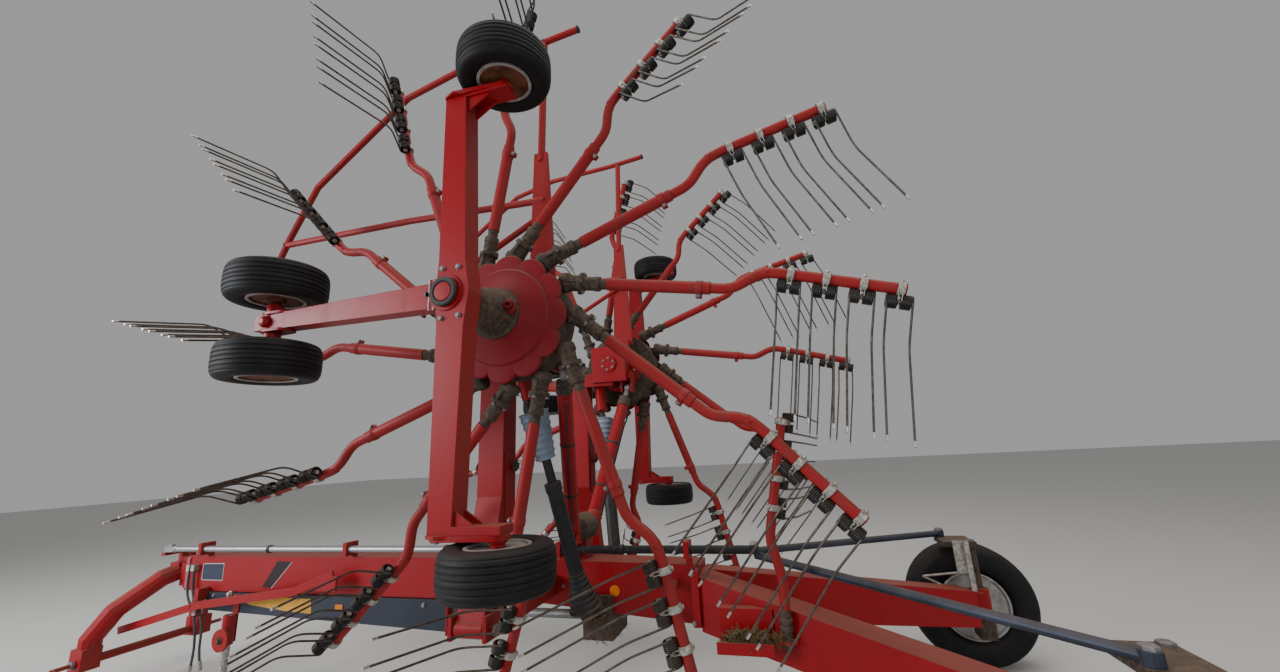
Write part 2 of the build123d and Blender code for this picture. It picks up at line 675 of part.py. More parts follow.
keep("side_bar", side_bar - panel)

# bracket with a lamp plate at the right fork arm's end
LAMP_POST = (-2265.0, -2235.0, -760.0, -740.0, 540.0, 830.0)
LAMP_PLATE = (-2270.0, -2180.0, -772.0, -758.0, 640.0, 830.0)
keep("lamp_bracket", box(*LAMP_POST) + box(*LAMP_PLATE) - fork_arms["right"])

# parking stand, its leg slides in the sleeve under the beam
STAND_LINK_HALF = 25.0
STAND_LINK_Z = (340.0, 640.0)
STAND_LINK_THICKNESS = 8.0
STAND_DISC_Y = (STAND_Y + 34.0, STAND_Y + 50.0)
LEG_TOP_Z = 515.0
LEG_ROOT_Z = 8.0
stand_sleeve_ends = [(STAND_X, STAND_Y, z) for z in (STAND_SLEEVE_LOW_Z, STAND_SLEEVE_HIGH_Z)]
sleeve = bar(*stand_sleeve_ends, STAND_SLEEVE_RADIUS, 16)
leg_hole = rod((STAND_X, STAND_Y, 0.0), (STAND_X, STAND_Y, BEAM_TOP_Z), STAND_LEG_RADIUS + SLIDE_CLEARANCE)
stand_disc = bar(*[(STAND_X, y, STAND_DISC_Z) for y in STAND_DISC_Y], STAND_DISC_RADIUS, 32)
stand_link_y = (PANEL_HALF_WIDTH, PANEL_HALF_WIDTH + STAND_LINK_THICKNESS)
stand_link = box(STAND_X - STAND_LINK_HALF, STAND_X + STAND_LINK_HALF, *stand_link_y, *STAND_LINK_Z)
keep("stand_sleeve", sleeve + stand_link + stand_disc - leg_hole)
leg = rod((STAND_X, STAND_Y, LEG_ROOT_Z), (STAND_X, STAND_Y, LEG_TOP_Z), STAND_LEG_RADIUS)
foot_x = (STAND_X - STAND_FOOT_HALF, STAND_X + STAND_FOOT_HALF)
foot_y = (STAND_Y - STAND_FOOT_HALF, STAND_Y + STAND_FOOT_HALF)
keep("stand_leg", leg + box(*foot_x, *foot_y, 0.0, STAND_FOOT_THICKNESS))

# headstock: an arch of thick tube with the lower link pins at its feet
HEAD_LEG_PATH = (
    (HEAD_PIVOT_X + 70.0, 0, 770.0),
    (HEAD_PIVOT_X + 110.0, 110.0, 735.0),
    (HEAD_PIVOT_X + 250.0, 290.0, 560.0),
    (HEAD_FOOT_X, HEAD_FOOT_Y, 380.0),
    (HEAD_FOOT_X, HEAD_FOOT_Y, HEAD_FOOT_Z),
)
HEAD_BLOCK_X = (HEAD_PIVOT_X + 35.0, HEAD_PIVOT_X + 130.0)
HEAD_BLOCK_HALF = 62.0
HEAD_FOOT_INNER_Y = 300.0
LEVER_ROOT_X = (HEAD_PIVOT_X + 62.0, HEAD_PIVOT_X + 102.0)
LEVER_HALF = 30.0
LEVER_END_Y = 150.0
LEVER_LOW_Z = 800.0
LEVER_ARM_Z = (900.0, 920.0)
head_z = (HEAD_SLEEVE_BOTTOM_Z, HEAD_SLEEVE_TOP_Z)
headstock = bar(*[(HEAD_PIVOT_X, 0, z) for z in head_z], HEAD_SLEEVE_RADIUS, 24)
headstock += box(*HEAD_BLOCK_X, -HEAD_BLOCK_HALF, HEAD_BLOCK_HALF, *head_z)
headstock += box(*LEVER_ROOT_X, -LEVER_HALF, LEVER_HALF, LEVER_LOW_Z, LEVER_ARM_Z[0])
headstock += box(*LEVER_ROOT_X, -LEVER_HALF, LEVER_END_Y, *LEVER_ARM_Z)
head_foot_x = (HEAD_FOOT_X - HEAD_TUBE_RADIUS, HEAD_FOOT_X + HEAD_TUBE_RADIUS)
head_foot_z = (HEAD_FOOT_BOTTOM_Z, HEAD_FOOT_TOP_Z)
for sign in (1.0, -1.0):
    headstock += pipe([(x, sign * y, z) for x, y, z in HEAD_LEG_PATH], HEAD_TUBE_RADIUS, 12)
    foot_y = sorted((sign * HEAD_FOOT_INNER_Y, sign * HEAD_SHOULDER_Y))
    headstock += box(*head_foot_x, *foot_y, *head_foot_z)
    pin_y = (sign * (HEAD_SHOULDER_Y - LINK_PIN_RADIUS), sign * (LINK_PIN_MID_Y + LINK_PIN_LENGTH / 2))
    headstock += rod(*[(HEAD_FOOT_X, y, LINK_PIN_Z) for y in pin_y], LINK_PIN_RADIUS)
headstock += bar(*[(HEAD_FOOT_X, y, LINK_PIN_Z) for y in (-HEAD_FOOT_Y, HEAD_FOOT_Y)], HEAD_CROSS_RADIUS)
head_bore = rod(*pivot_pin_ends, PIVOT_PIN_RADIUS + PIN_CLEARANCE)
keep("headstock_arch", headstock - head_bore)

# long steering rod over the beam, and the two tie rods over the fork arms
STEER_EYE_LENGTH = 95.0
STEER_TAIL_LENGTH = 40.0
STEER_TAIL_Y = (20.0, STEER_ROD_Y + STEER_ROD_RADIUS)
steer_z = (STEER_ROD_Z - STEER_EYE_HALF, STEER_ROD_Z + STEER_EYE_HALF)
steer_ends = [(x, STEER_ROD_Y, STEER_ROD_Z) for x in (STEER_ROD_REAR_X, STEER_ROD_FRONT_X)]
steer_eye_y = (STEER_ROD_Y - STEER_EYE_HALF, STEER_ROD_Y + STEER_EYE_HALF)
steering_rod = rod(*steer_ends, STEER_ROD_RADIUS)
steering_rod += box(STEER_ROD_FRONT_X, STEER_ROD_FRONT_X + STEER_EYE_LENGTH, *steer_eye_y, *steer_z)
steering_rod += box(STEER_ROD_REAR_X - STEER_TAIL_LENGTH, STEER_ROD_REAR_X, *STEER_TAIL_Y, *steer_z)
keep("steering_rod", steering_rod)
tie_eye_ends = [(TIE_REAR[0], TIE_REAR[1], z) for z in (STEER_ARM_TOP_Z + SEAT_GAP, TIE_REAR[2] + TIE_RADIUS)]
keep_pair("tie_rod", bar(TIE_FRONT, TIE_REAR, TIE_RADIUS) + bar(*tie_eye_ends, TIE_EYE_RADIUS, 16))

# knuckles with kingpin, steering arm and axle stub
KINGPIN_LOW_Z = KINGPIN_SLEEVE_LOW_Z - 35.0
KINGPIN_TOP_Z = STEER_ARM_Z + 12.0
KNUCKLE_BLOCK_HALF = 45.0
KNUCKLE_BLOCK_Y = (KNUCKLE_Y - 40.0, KNUCKLE_Y + 90.0)
KNUCKLE_BLOCK_Z = (240.0, KINGPIN_SLEEVE_LOW_Z - 10.0)
AXLE_LEG_HALF = 40.0
AXLE_LEG_Y = (KNUCKLE_Y + 60.0, KNUCKLE_Y + 95.0)
AXLE_LEG_Z = (240.0, 440.0)
STEER_ARM_FRONT_HALF = 30.0
axle_end_y = ROAD_WHEEL_Y - ROAD_DISH - ROAD_HUB_HALF - SEAT_GAP
knuckle = rod((KNUCKLE_X, KNUCKLE_Y, KINGPIN_LOW_Z), (KNUCKLE_X, KNUCKLE_Y, KINGPIN_TOP_Z), KINGPIN_RADIUS)
knuckle_block_x = (KNUCKLE_X - KNUCKLE_BLOCK_HALF, KNUCKLE_X + KNUCKLE_BLOCK_HALF)
knuckle += box(*knuckle_block_x, *KNUCKLE_BLOCK_Y, *KNUCKLE_BLOCK_Z)
knuckle += box(KNUCKLE_X - AXLE_LEG_HALF, KNUCKLE_X + AXLE_LEG_HALF, *AXLE_LEG_Y, *AXLE_LEG_Z)
knuckle += bar(*[(KNUCKLE_X, y, ROAD_WHEEL_RADIUS) for y in (AXLE_LEG_Y[0], axle_end_y)], AXLE_RADIUS, 20)
steer_arm_y = (KNUCKLE_Y - STEER_ARM_FRONT_HALF, STEER_ARM_OUTER_Y)
knuckle += box(KNUCKLE_X - STEER_ARM_FRONT_HALF, STEER_ARM_REAR_X, *steer_arm_y, STEER_ARM_Z, STEER_ARM_TOP_Z)
keep_pair("steering_knuckle", knuckle)
road_centre = (KNUCKLE_X, ROAD_WHEEL_Y, ROAD_WHEEL_RADIUS)
road_sizes = (ROAD_WHEEL_RADIUS, ROAD_WHEEL_HALF_WIDTH, ROAD_RIM_RADIUS, ROAD_SIDES)
keep_pair("road_wheel", wheel(road_centre, (0, 1, 0), *road_sizes, -ROAD_DISH, ROAD_HUB_HALF))

# the drive shaft's line, which the rotor gearbox's input meets
shaft_low = Vector(*SHAFT_LOW)
shaft_high = Vector(*SHAFT_HIGH)
shaft_dir = (shaft_high - shaft_low).normalized()
shaft_length = (shaft_high - shaft_low).length


def on_shaft(distance):
    """A point of the drive shaft's axis."""
    return tuple(shaft_low + shaft_dir * distance)


# rotor gearbox with the input for the drive shaft, a square inner case and the shaft that the rotor turns on
GEAR_INPUT_LENGTH = 300.0
gear_input_ends = [on_shaft(shaft_length + d) for d in (SHAFT_BALL_RADIUS + SEAT_GAP, GEAR_INPUT_LENGTH)]
gearbox = bar(*[(0, y, ROTOR_AXIS_Z) for y in GEAR_CASE_Y], GEAR_CASE_RADIUS, 32)
gearbox += bar(*[(0, y, ROTOR_AXIS_Z) for y in GEAR_TOP_Y], GEAR_TOP_RADIUS, 24)
gear_box_z = (ROTOR_AXIS_Z - GEAR_BOX_HALF, ROTOR_AXIS_Z + GEAR_BOX_HALF)
gearbox += box(-GEAR_BOX_HALF, GEAR_BOX_HALF, *GEAR_BOX_Y, *gear_box_z)
gearbox += bar(*[(0, y, ROTOR_AXIS_Z) for y in GEAR_DISC_Y], GEAR_DISC_RADIUS, 24)
gearbox += bar(*gear_input_ends, GEAR_INPUT_RADIUS, 16)
hub_shaft_y = (DRUM_INNER_Y - 12.0, CHASSIS_Y - BOSS_BACK)
gearbox += rod(*[(0, y, ROTOR_AXIS_Z) for y in hub_shaft_y], HUB_SHAFT_RADIUS)
keep_pair("rotor_gearbox", gearbox)

# folding arm: pivot sleeve, box column with a cross pin, and the bracket that holds the rotor gearbox
sleeve_ends = [(x, FOLD_PIVOT_Y, FOLD_PIVOT_Z) for x in (SLEEVE_REAR_X, SLEEVE_FRONT_X)]
column_face = make_face(Polyline(*[(0, y, z) for y, z in COLUMN_OUTLINE], close=True))
column = Pos(SLEEVE_REAR_X, 0, 0) * extrude(column_face, amount=SLEEVE_FRONT_X - SLEEVE_REAR_X, dir=(1, 0, 0))
fold_arm = column + bar(*sleeve_ends, SLEEVE_RADIUS, 24)
fold_arm -= rod(*fold_pin_ends, FOLD_PIN_RADIUS + PIN_CLEARANCE)
for plate_x in (SLEEVE_REAR_X - COLUMN_PLATE_THICKNESS, SLEEVE_FRONT_X):
    fold_arm += box(plate_x, plate_x + COLUMN_PLATE_THICKNESS, *COLUMN_PLATE_Y, *COLUMN_PLATE_Z)
pin_y, pin_z = COLUMN_PIN
cross_pin_x = (SLEEVE_REAR_X - COLUMN_PIN_CAP, SLEEVE_FRONT_X + COLUMN_PIN_CAP)
fold_arm += bar(*[(x, pin_y, pin_z) for x in cross_pin_x], COLUMN_PIN_RADIUS, 16)
ram_x = (RAM_HIGH[0] - RAM_BRACKET_GAP - RAM_BRACKET_THICKNESS, RAM_HIGH[0] + RAM_BRACKET_GAP)
fold_arm += box(-20.0, 200.0, *NECK_Y, *NECK_Z)
fold_arm += box(ram_x[0], 0.0, *NECK_Y, BRIDGE_Z, NECK_Z[1])
for bracket_x in ram_x:
    bracket_z = (RAM_HIGH[2] - RAM_BRACKET_GAP, NECK_Z[1])
    fold_arm += box(bracket_x, bracket_x + RAM_BRACKET_THICKNESS, *RAM_BRACKET_Y, *bracket_z)
keep_pair("fold_arm", fold_arm - gearbox)

# rotor hub: cam drum, scalloped cover with its dish, and nose, bored to turn on the gearbox's shaft
drum = bar(*[(0, y, ROTOR_AXIS_Z) for y in (DRUM_INNER_Y, DRUM_OUTER_Y)], DRUM_RADIUS, HUB_SIDES)
cover_points = []
for step in range(ARM_COUNT * LOBE_STEPS):
    angle = step * 2 * math.pi / (ARM_COUNT * LOBE_STEPS)
    reach = DISC_RADIUS - LOBE_DEPTH * (1 - abs(math.cos(ARM_COUNT / 2 * angle)))
    turned_angle = angle + math.radians(ARM_FIRST_DEG)
    cover_points.append((-reach * math.cos(turned_angle), ROTOR_AXIS_Z + reach * math.sin(turned_angle)))
cover = prism(cover_points, DRUM_OUTER_Y, DRUM_OUTER_Y + DISC_THICKNESS)
dish_profile = (
    (DRUM_OUTER_Y, DISH_RADIUS),
    (DRUM_OUTER_Y + DISC_THICKNESS, DISH_RADIUS),
    (DISH_TOP_Y, DISH_TOP_RADIUS),
)
dish = turned((0, 0, ROTOR_AXIS_Z), (0, 1, 0), dish_profile, HUB_SIDES)
nose = bar(*[(0, y, ROTOR_AXIS_Z) for y in (DRUM_OUTER_Y, HUB_NOSE_Y)], NOSE_RADIUS, 20)
hub_bore = rod((0, 0, ROTOR_AXIS_Z), (0, CHASSIS_Y, ROTOR_AXIS_Z), HUB_SHAFT_RADIUS + PIN_CLEARANCE)
keep_pair("rotor_hub", drum + cover + dish + nose - hub_bore)


def arm_angle(index):
    """The angle of one arm's tip, from the rear towards the top."""
    return math.radians(ARM_FIRST_DEG - index * ARM_STEP_DEG)


def arm_point(index, along, aside):
    """A point of one arm, along its tip's radius and aside of it."""
    angle = arm_angle(index)
    u = along * math.cos(angle) - aside * math.sin(angle)
    v = along * math.sin(angle) + aside * math.cos(angle)
    return (-u, ROTOR_PLANE_Y, ROTOR_AXIS_Z + v)


def path_aside(along):
    """How far aside the outer tube is at a station."""
    (start_along, start_aside), (end_along, end_aside) = ARM_PATH[-2:]
    return start_aside + (end_aside - start_aside) * (along - start_along) / (end_along - start_along)


def arm_tube(index, path, radius):
    """A straight or bent tube of one arm."""
    return pipe([arm_point(index, along, aside) for along, aside in path], radius)


# arm castings on the drum, and the arms with their clamps, coils and tines, each arm's at its own pitch
castings = []
arms = []
for index in range(ARM_COUNT):
    castings.append(arm_tube(index, CASTING_PATH, CASTING_RADIUS) - drum)
    tined_arm = arm_tube(index, STUB_PATH, ARM_STUB_RADIUS)
    tined_arm += arm_tube(index, SOCKET_PATH, SOCKET_RADIUS)
    tined_arm += arm_tube(index, ARM_PATH, ARM_RADIUS)
    start = Vector(*arm_point(index, *ARM_PATH[-2]))
    finish = Vector(*arm_point(index, *ARM_PATH[-1]))
    axis = (finish - start).normalized()
    down = Vector(0, 1, 0)
    radial = arm_angle(index)
    rotation = Vector(-math.sin(radial), 0, -math.cos(radial))
    trail = axis.cross(down)
    if trail.dot(rotation) < 0:
        trail = trail * -1.0
    splay = math.radians(TINE_SPLAY_DEG)
    splayed = trail * math.cos(splay) + axis * math.sin(splay)
    pitch = math.radians(TINE_PITCH_DEG[index])
    bent_pitch = pitch - math.radians(TINE_BEND_DEG)
    drop = down * math.cos(pitch) + trail * math.sin(pitch)
    upper_run = down * math.cos(pitch) + splayed * math.sin(pitch)
    lower_run = down * math.cos(bent_pitch) + splayed * math.sin(bent_pitch)
    for station in CLAMP_STATIONS:
        centre = Vector(*arm_point(index, station, path_aside(station)))
        tined_arm += Plane(origin=centre, x_dir=axis, z_dir=drop) * Pos(0, 0, CLAMP_DROP) * Box(*CLAMP_SIZE)
        coil_centre = centre + drop * COIL_DROP
        coil_ends = [coil_centre - axis * COIL_HALF_LENGTH, coil_centre + axis * COIL_HALF_LENGTH]
        tined_arm += bar(*coil_ends, COIL_RADIUS, COIL_SIDES)
        for end in (-1.0, 1.0):
            root = centre + drop * TINE_ROOT_DROP + axis * (end * (COIL_HALF_LENGTH - TINE_INSET))
            knee = root + upper_run * TINE_UPPER_LENGTH
            tip = knee + lower_run * TINE_LOWER_LENGTH
            tine_plane = Plane(origin=root, x_dir=axis, z_dir=upper_run)
            section = tine_plane * Rectangle(2 * TINE_HALF, 2 * TINE_HALF)
            tined_arm += sweep(section, path=Polyline(root, knee, tip), transition=Transition.RIGHT)
    arms.append(tined_arm)
keep_pair("tine_arm_bearings", castings)
keep_pair("tine_arms", arms)

# rotor chassis: the tall lateral beam, the forward beam with its flange, the boss and the wheel axles
lateral_outline = (
    (LATERAL_FRONT_X, LATERAL_TOP_Z),
    (LATERAL_REAR_X, LATERAL_TOP_Z),
    (LATERAL_FLARE_X, ROTOR_AXIS_Z + LATERAL_FLARE),
    (LATERAL_BULGE_X, ROTOR_AXIS_Z),
    (LATERAL_FLARE_X, ROTOR_AXIS_Z - LATERAL_FLARE),
    (LATERAL_REAR_X, LATERAL_BOTTOM_Z),
    (LATERAL_FRONT_X, LATERAL_BOTTOM_Z),
    (LATERAL_FRONT_X, ROTOR_AXIS_Z - LATERAL_FLARE),
    (LATERAL_BULGE_FRONT_X, ROTOR_AXIS_Z),
    (LATERAL_FRONT_X, ROTOR_AXIS_Z + LATERAL_FLARE),
)
forward_outline = (
    (LATERAL_FRONT_X, ROTOR_AXIS_Z + FORWARD_ROOT_HALF),
    (LATERAL_FRONT_X, ROTOR_AXIS_Z - FORWARD_ROOT_HALF),
    (FORWARD_BEAM_END_X, ROTOR_AXIS_Z - FORWARD_END_HALF),
    (FORWARD_BEAM_END_X, ROTOR_AXIS_Z + FORWARD_END_HALF),
)
TOP_PLATE_THICKNESS = 12.0
LOW_PLATE_THICKNESS = 30.0
AXLE_ROOT = 8.0
chassis_y = (CHASSIS_Y - CHASSIS_HALF_DEPTH, CHASSIS_Y + CHASSIS_HALF_DEPTH)
chassis = prism(lateral_outline, *chassis_y)
chassis += prism(forward_outline, CHASSIS_Y - FORWARD_END_HALF, CHASSIS_Y + FORWARD_END_HALF)
flange_y = (CHASSIS_Y - CHASSIS_HALF_DEPTH, CHASSIS_Y + CHASSIS_HALF_DEPTH)
chassis += box(*FLANGE_X, *flange_y, ROTOR_AXIS_Z - FLANGE_HALF, ROTOR_AXIS_Z + FLANGE_HALF)
boss_ends = [(BOSS_X, y, ROTOR_AXIS_Z) for y in (CHASSIS_Y - BOSS_BACK, CHASSIS_Y + BOSS_FRONT)]
boss_ring_ends = [(BOSS_X, y, ROTOR_AXIS_Z) for y in (CHASSIS_Y, CHASSIS_Y + BOSS_RING)]
chassis += bar(*boss_ends, BOSS_RADIUS, 24)
chassis += bar(*boss_ring_ends, BOSS_RING_RADIUS, 24)
plate_x = (CHASSIS_PLATE_REAR_X, LATERAL_FRONT_X)
chassis += box(*plate_x, *chassis_y, LATERAL_TOP_Z, LATERAL_TOP_Z + TOP_PLATE_THICKNESS)
chassis += box(*plate_x, *chassis_y, LATERAL_BOTTOM_Z - LOW_PLATE_THICKNESS, LATERAL_BOTTOM_Z)
side_reach = SIDE_WHEEL_RISE - SIDE_DISH - SMALL_HUB_HALF - SEAT_GAP
front_reach = FRONT_WHEEL_RISE - FRONT_DISH - SMALL_HUB_HALF - SEAT_GAP
AXLES = (
    # x, z from, z to
    (SIDE_WHEEL_X, LATERAL_TOP_Z + AXLE_ROOT, ROTOR_AXIS_Z + side_reach),
    (SIDE_WHEEL_X, ROTOR_AXIS_Z - side_reach, LATERAL_BOTTOM_Z - AXLE_ROOT),
    (FRONT_WHEEL_X, ROTOR_AXIS_Z - front_reach, ROTOR_AXIS_Z + front_reach),
)
for x, low_z, high_z in AXLES:
    chassis += bar((x, WHEEL_Y, low_z), (x, WHEEL_Y, high_z), SMALL_AXLE_RADIUS, 16)
keep_pair("rotor_chassis", chassis)

# small rotor wheels: upper, lower and the forward twin pair
small_sizes = (SMALL_WHEEL_RADIUS, SMALL_WHEEL_HALF_WIDTH, SMALL_RIM_RADIUS, SMALL_SIDES)
SMALL_WHEELS = (
    # piece, x, rise over the rotor's axis, dish
    ("upper_rotor_wheel", SIDE_WHEEL_X, (SIDE_WHEEL_RISE,), SIDE_DISH),
    ("lower_rotor_wheel", SIDE_WHEEL_X, (-SIDE_WHEEL_RISE,), SIDE_DISH),
    ("front_rotor_wheels", FRONT_WHEEL_X, (FRONT_WHEEL_RISE, -FRONT_WHEEL_RISE), FRONT_DISH),
)
for name, x, rises, dish in SMALL_WHEELS:
    wheels = []
    for rise in rises:
        centre = (x, WHEEL_Y, ROTOR_AXIS_Z + rise)
        wheels.append(wheel(centre, (0, 0, math.copysign(1.0, rise)), *small_sizes, -dish, SMALL_HUB_HALF))
    keep_pair(name, wheels)

# guard: mast, top tube bent round the rotor's front, and the lower tubes
MAST_FOOT = (-120.0, -20.0, 650.0, 700.0, 2290.0, 2360.0)
guard = prism(MAST_OUTLINE, *MAST_Y) + box(*MAST_FOOT)
for y, radius, places in GUARD_TUBES:
    guard += pipe([(x, y, z) for x, z in places], radius)
keep_pair("rotor_guard", guard - gearbox)

# drive shafts: outer tube with bellows on the centre gearbox, inner tube with cone at the rotor gearbox
BELLOWS_START = CROSS_RADIUS + 13.0
BELLOWS_LENGTH = 180.0
BELLOWS_RADII = (78.0, 46.0)
OUTER_TUBE = (200.0, 740.0)
OUTER_HOLLOW = (230.0, 800.0)
INNER_START = 260.0
CONE_SPAN = (880.0, 1140.0)
CONE_RADII = (48.0, 84.0)
bellows_profile = ((BELLOWS_START, BELLOWS_RADII[0]), (BELLOWS_START + BELLOWS_LENGTH, BELLOWS_RADII[1]))
shaft_outer = turned(SHAFT_LOW, shaft_dir, bellows_profile, 20)
shaft_outer += bar(on_shaft(OUTER_TUBE[0]), on_shaft(OUTER_TUBE[1]), OUTER_SHAFT_RADIUS, 20)
shaft_outer -= rod(on_shaft(OUTER_HOLLOW[0]), on_shaft(OUTER_HOLLOW[1]), INNER_SHAFT_RADIUS + SLIDE_CLEARANCE)
keep_pair("drive_shaft_outer", shaft_outer)
shaft_inner = rod(on_shaft(INNER_START), on_shaft(shaft_length), INNER_SHAFT_RADIUS)
shaft_inner += turned(SHAFT_LOW, shaft_dir, tuple(zip(CONE_SPAN, CONE_RADII)), 20)
shaft_inner += Pos(*SHAFT_HIGH) * Sphere(SHAFT_BALL_RADIUS)
keep_pair("drive_shaft_inner", shaft_inner)

# fold cylinders: barrel with its lower eye, rod with its upper eye and pin
ram_low = Vector(*RAM_LOW)
ram_high = Vector(*RAM_HIGH)
ram_dir = (ram_high - ram_low).normalized()
ram_length = (ram_high - ram_low).length


def on_ram(distance):
    """A point of the fold cylinder's axis."""
    return tuple(ram_low + ram_dir * distance)


NECK_SPAN = (20.0, 54.0)
BARREL_START = 50.0
HOLLOW_START = 70.0
LOW_HOLE_HALF = 60.0
HIGH_PIN_HALF = 26.0
barrel = cross_rod(RAM_LOW, ram_axis, RAM_EYE_HALF, RAM_EYE_RADIUS)
barrel += bar(on_ram(NECK_SPAN[0]), on_ram(NECK_SPAN[1]), RAM_NECK_RADIUS)
barrel += bar(on_ram(BARREL_START), on_ram(ram_length - RAM_HEAD), RAM_BARREL_RADIUS, 20)
barrel -= rod(on_ram(HOLLOW_START), on_ram(ram_length), RAM_ROD_RADIUS + SLIDE_CLEARANCE)
barrel -= cross_rod(RAM_LOW, ram_axis, LOW_HOLE_HALF, RAM_PIN_RADIUS + PIN_CLEARANCE)
keep_pair("fold_cylinder_barrel", barrel)
ram_rod = rod(on_ram(RAM_HEAD), on_ram(ram_length - RAM_ROD_RADIUS), RAM_ROD_RADIUS)
ram_rod += cross_rod(RAM_HIGH, ram_axis, RAM_EYE_HALF, RAM_EYE_RADIUS)
ram_rod += cross_rod(RAM_HIGH, ram_axis, HIGH_PIN_HALF, RAM_PIN_RADIUS)
keep_pair("fold_cylinder_rod", ram_rod)

# hoses with their glands on the beam, the clip at the lug, and the couplings at their free ends
glands = []
clip = box(*HOSE_CLIP_X, *HOSE_CLIP_Y, HOSE_CLIP_Z[1] - HOSE_CLIP_THICKNESS, HOSE_CLIP_Z[1])
for cheek_y in (HOSE_CLIP_Y[0], HOSE_CLIP_Y[1] - HOSE_CLIP_THICKNESS):
    clip += box(*HOSE_CLIP_X, cheek_y, cheek_y + HOSE_CLIP_THICKNESS, *HOSE_CLIP_Z)
for name, route in HOSE_ROUTES.items():
    tube_solid, radii = hose(route)
    print(name, "bend radii", [round(radius) for radius in radii])
    keep(name, tube_solid)
    end = Vector(*route[-1])
    onward = (end - Vector(*route[-2])).normalized()
    keep(name + "_coupling", bar(end, end + onward * HOSE_COUPLING_LENGTH, HOSE_COUPLING_RADIUS, 6))
    gland_x = (route[0][0] - HOSE_GLAND_HALF, route[0][0] + HOSE_GLAND_HALF)
    gland_y = (BEAM_HALF_WIDTH, route[0][1] + HOSE_GLAND_HALF)
    glands.append(box(*gland_x, *gland_y, *HOSE_GLAND_Z))
keep("hose_glands", glands + [clip])

whole = Compound(children=list(MADE.values()))
bounds = whole.bounding_box()
print("pieces", len(MADE))
print("box", bounds.min, bounds.max)
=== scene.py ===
# %% [markdown]
# # A twin rotor hay rake, folded for the road
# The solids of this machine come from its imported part, and they already stand in the right places, in metres,
# with X to the tractor, Y to the machine's left and Z up.
# This lesson dresses them: each cell adds one finish, or one set of pieces that the solids show only plainly.
# Everything new is worked out as arrays of points, so a size can be changed in one place.

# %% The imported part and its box
import math

import bpy
import numpy as np
from mathutils import Matrix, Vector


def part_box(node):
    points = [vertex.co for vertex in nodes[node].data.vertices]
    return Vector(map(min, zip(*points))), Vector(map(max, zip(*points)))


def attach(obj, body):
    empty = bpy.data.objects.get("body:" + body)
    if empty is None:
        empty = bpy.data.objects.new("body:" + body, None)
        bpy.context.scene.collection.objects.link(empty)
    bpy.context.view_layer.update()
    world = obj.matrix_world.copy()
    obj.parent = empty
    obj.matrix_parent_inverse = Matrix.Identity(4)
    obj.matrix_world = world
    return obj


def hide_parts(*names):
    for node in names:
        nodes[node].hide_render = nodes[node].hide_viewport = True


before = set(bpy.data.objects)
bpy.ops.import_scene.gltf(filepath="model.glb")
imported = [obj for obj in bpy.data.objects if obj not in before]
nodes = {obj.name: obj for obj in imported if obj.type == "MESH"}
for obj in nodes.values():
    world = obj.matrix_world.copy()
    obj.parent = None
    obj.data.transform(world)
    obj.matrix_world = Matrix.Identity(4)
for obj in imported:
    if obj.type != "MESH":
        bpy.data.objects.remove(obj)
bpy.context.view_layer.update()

# %% [markdown]
# ## Camera
# The picture was taken by a wide lens, close to the machine and about as high as a person's chest.
# Turning the camera in three plain steps is easier to read than one matrix of nine numbers: it starts level and
# facing the machine's side, turns to one side, tips up towards the raised rotor and leans a little.

# %% The camera
SENSOR_WIDTH = 36.0
FOCAL_SHARE = 486.2 / 1280
CAMERA_PLACE = (-1.775, 2.974, 1.491)
TURN, RISE, LEAN = math.radians(15.53), math.radians(13.28), math.radians(-3.07)

lens = bpy.data.cameras.new("camera")
lens.sensor_width = SENSOR_WIDTH
lens.lens = SENSOR_WIDTH * FOCAL_SHARE
camera = bpy.data.objects.new("camera", lens)
camera.matrix_world = (
    Matrix.Translation(CAMERA_PLACE)
    @ Matrix.Rotation(math.pi + TURN, 4, "Z")
    @ Matrix.Rotation(math.pi / 2 + RISE, 4, "X")
    @ Matrix.Rotation(LEAN, 4, "Z")
)
bpy.context.scene.collection.objects.link(camera)
bpy.context.scene.camera = camera
print("lens", round(lens.lens, 2), "mm, camera", round(CAMERA_PLACE[2], 2), "m above the floor")

# %% [markdown]
# ## Surfaces from arrays
# A tube, a tyre and a coiled spring are all one idea: a small outline carried along a line.
# Points are kept as a grid, with one row for each place on the line and one column for each point of the outline.
# Joining neighbours of the grid gives the faces, and two lids close the ends, so each piece is a closed skin.


# %% Grids of points and their faces
def unit(vectors):
    """Each vector divided by its length."""
    vectors = np.asarray(vectors, float)
    return vectors / np.linalg.norm(vectors, axis=-1, keepdims=True)


def all_round(count):
    """Evenly spaced angles round a circle."""
    return np.arange(count) * 2 * math.pi / count


def grid_faces(rows, columns, ring=False):
    """Faces of a grid of points whose columns wrap round. A ring's rows wrap round as well, a tube gets two lids."""
    index = np.arange(rows * columns).reshape(rows, columns)
    below = np.concatenate([index, index[:1]]) if ring else index
    after = np.roll(below, -1, axis=1)
    quads = np.stack([below[:-1], after[:-1], after[1:], below[1:]], -1).reshape(-1, 4).tolist()
    return quads if ring else quads + [index[0, ::-1].tolist(), index[-1].tolist()]


def skin(grids, ring=False):
    """Points and faces of one grid, or of a pile of grids of one size."""
    grids = np.asarray(grids, float)
    grids = grids.reshape((-1,) + grids.shape[-3:])
    count, rows, columns = grids.shape[:3]
    faces = grid_faces(rows, columns, ring)
    step = rows * columns
    return grids.reshape(-1, 3), [[i + n * step for i in face] for n in range(count) for face in faces]


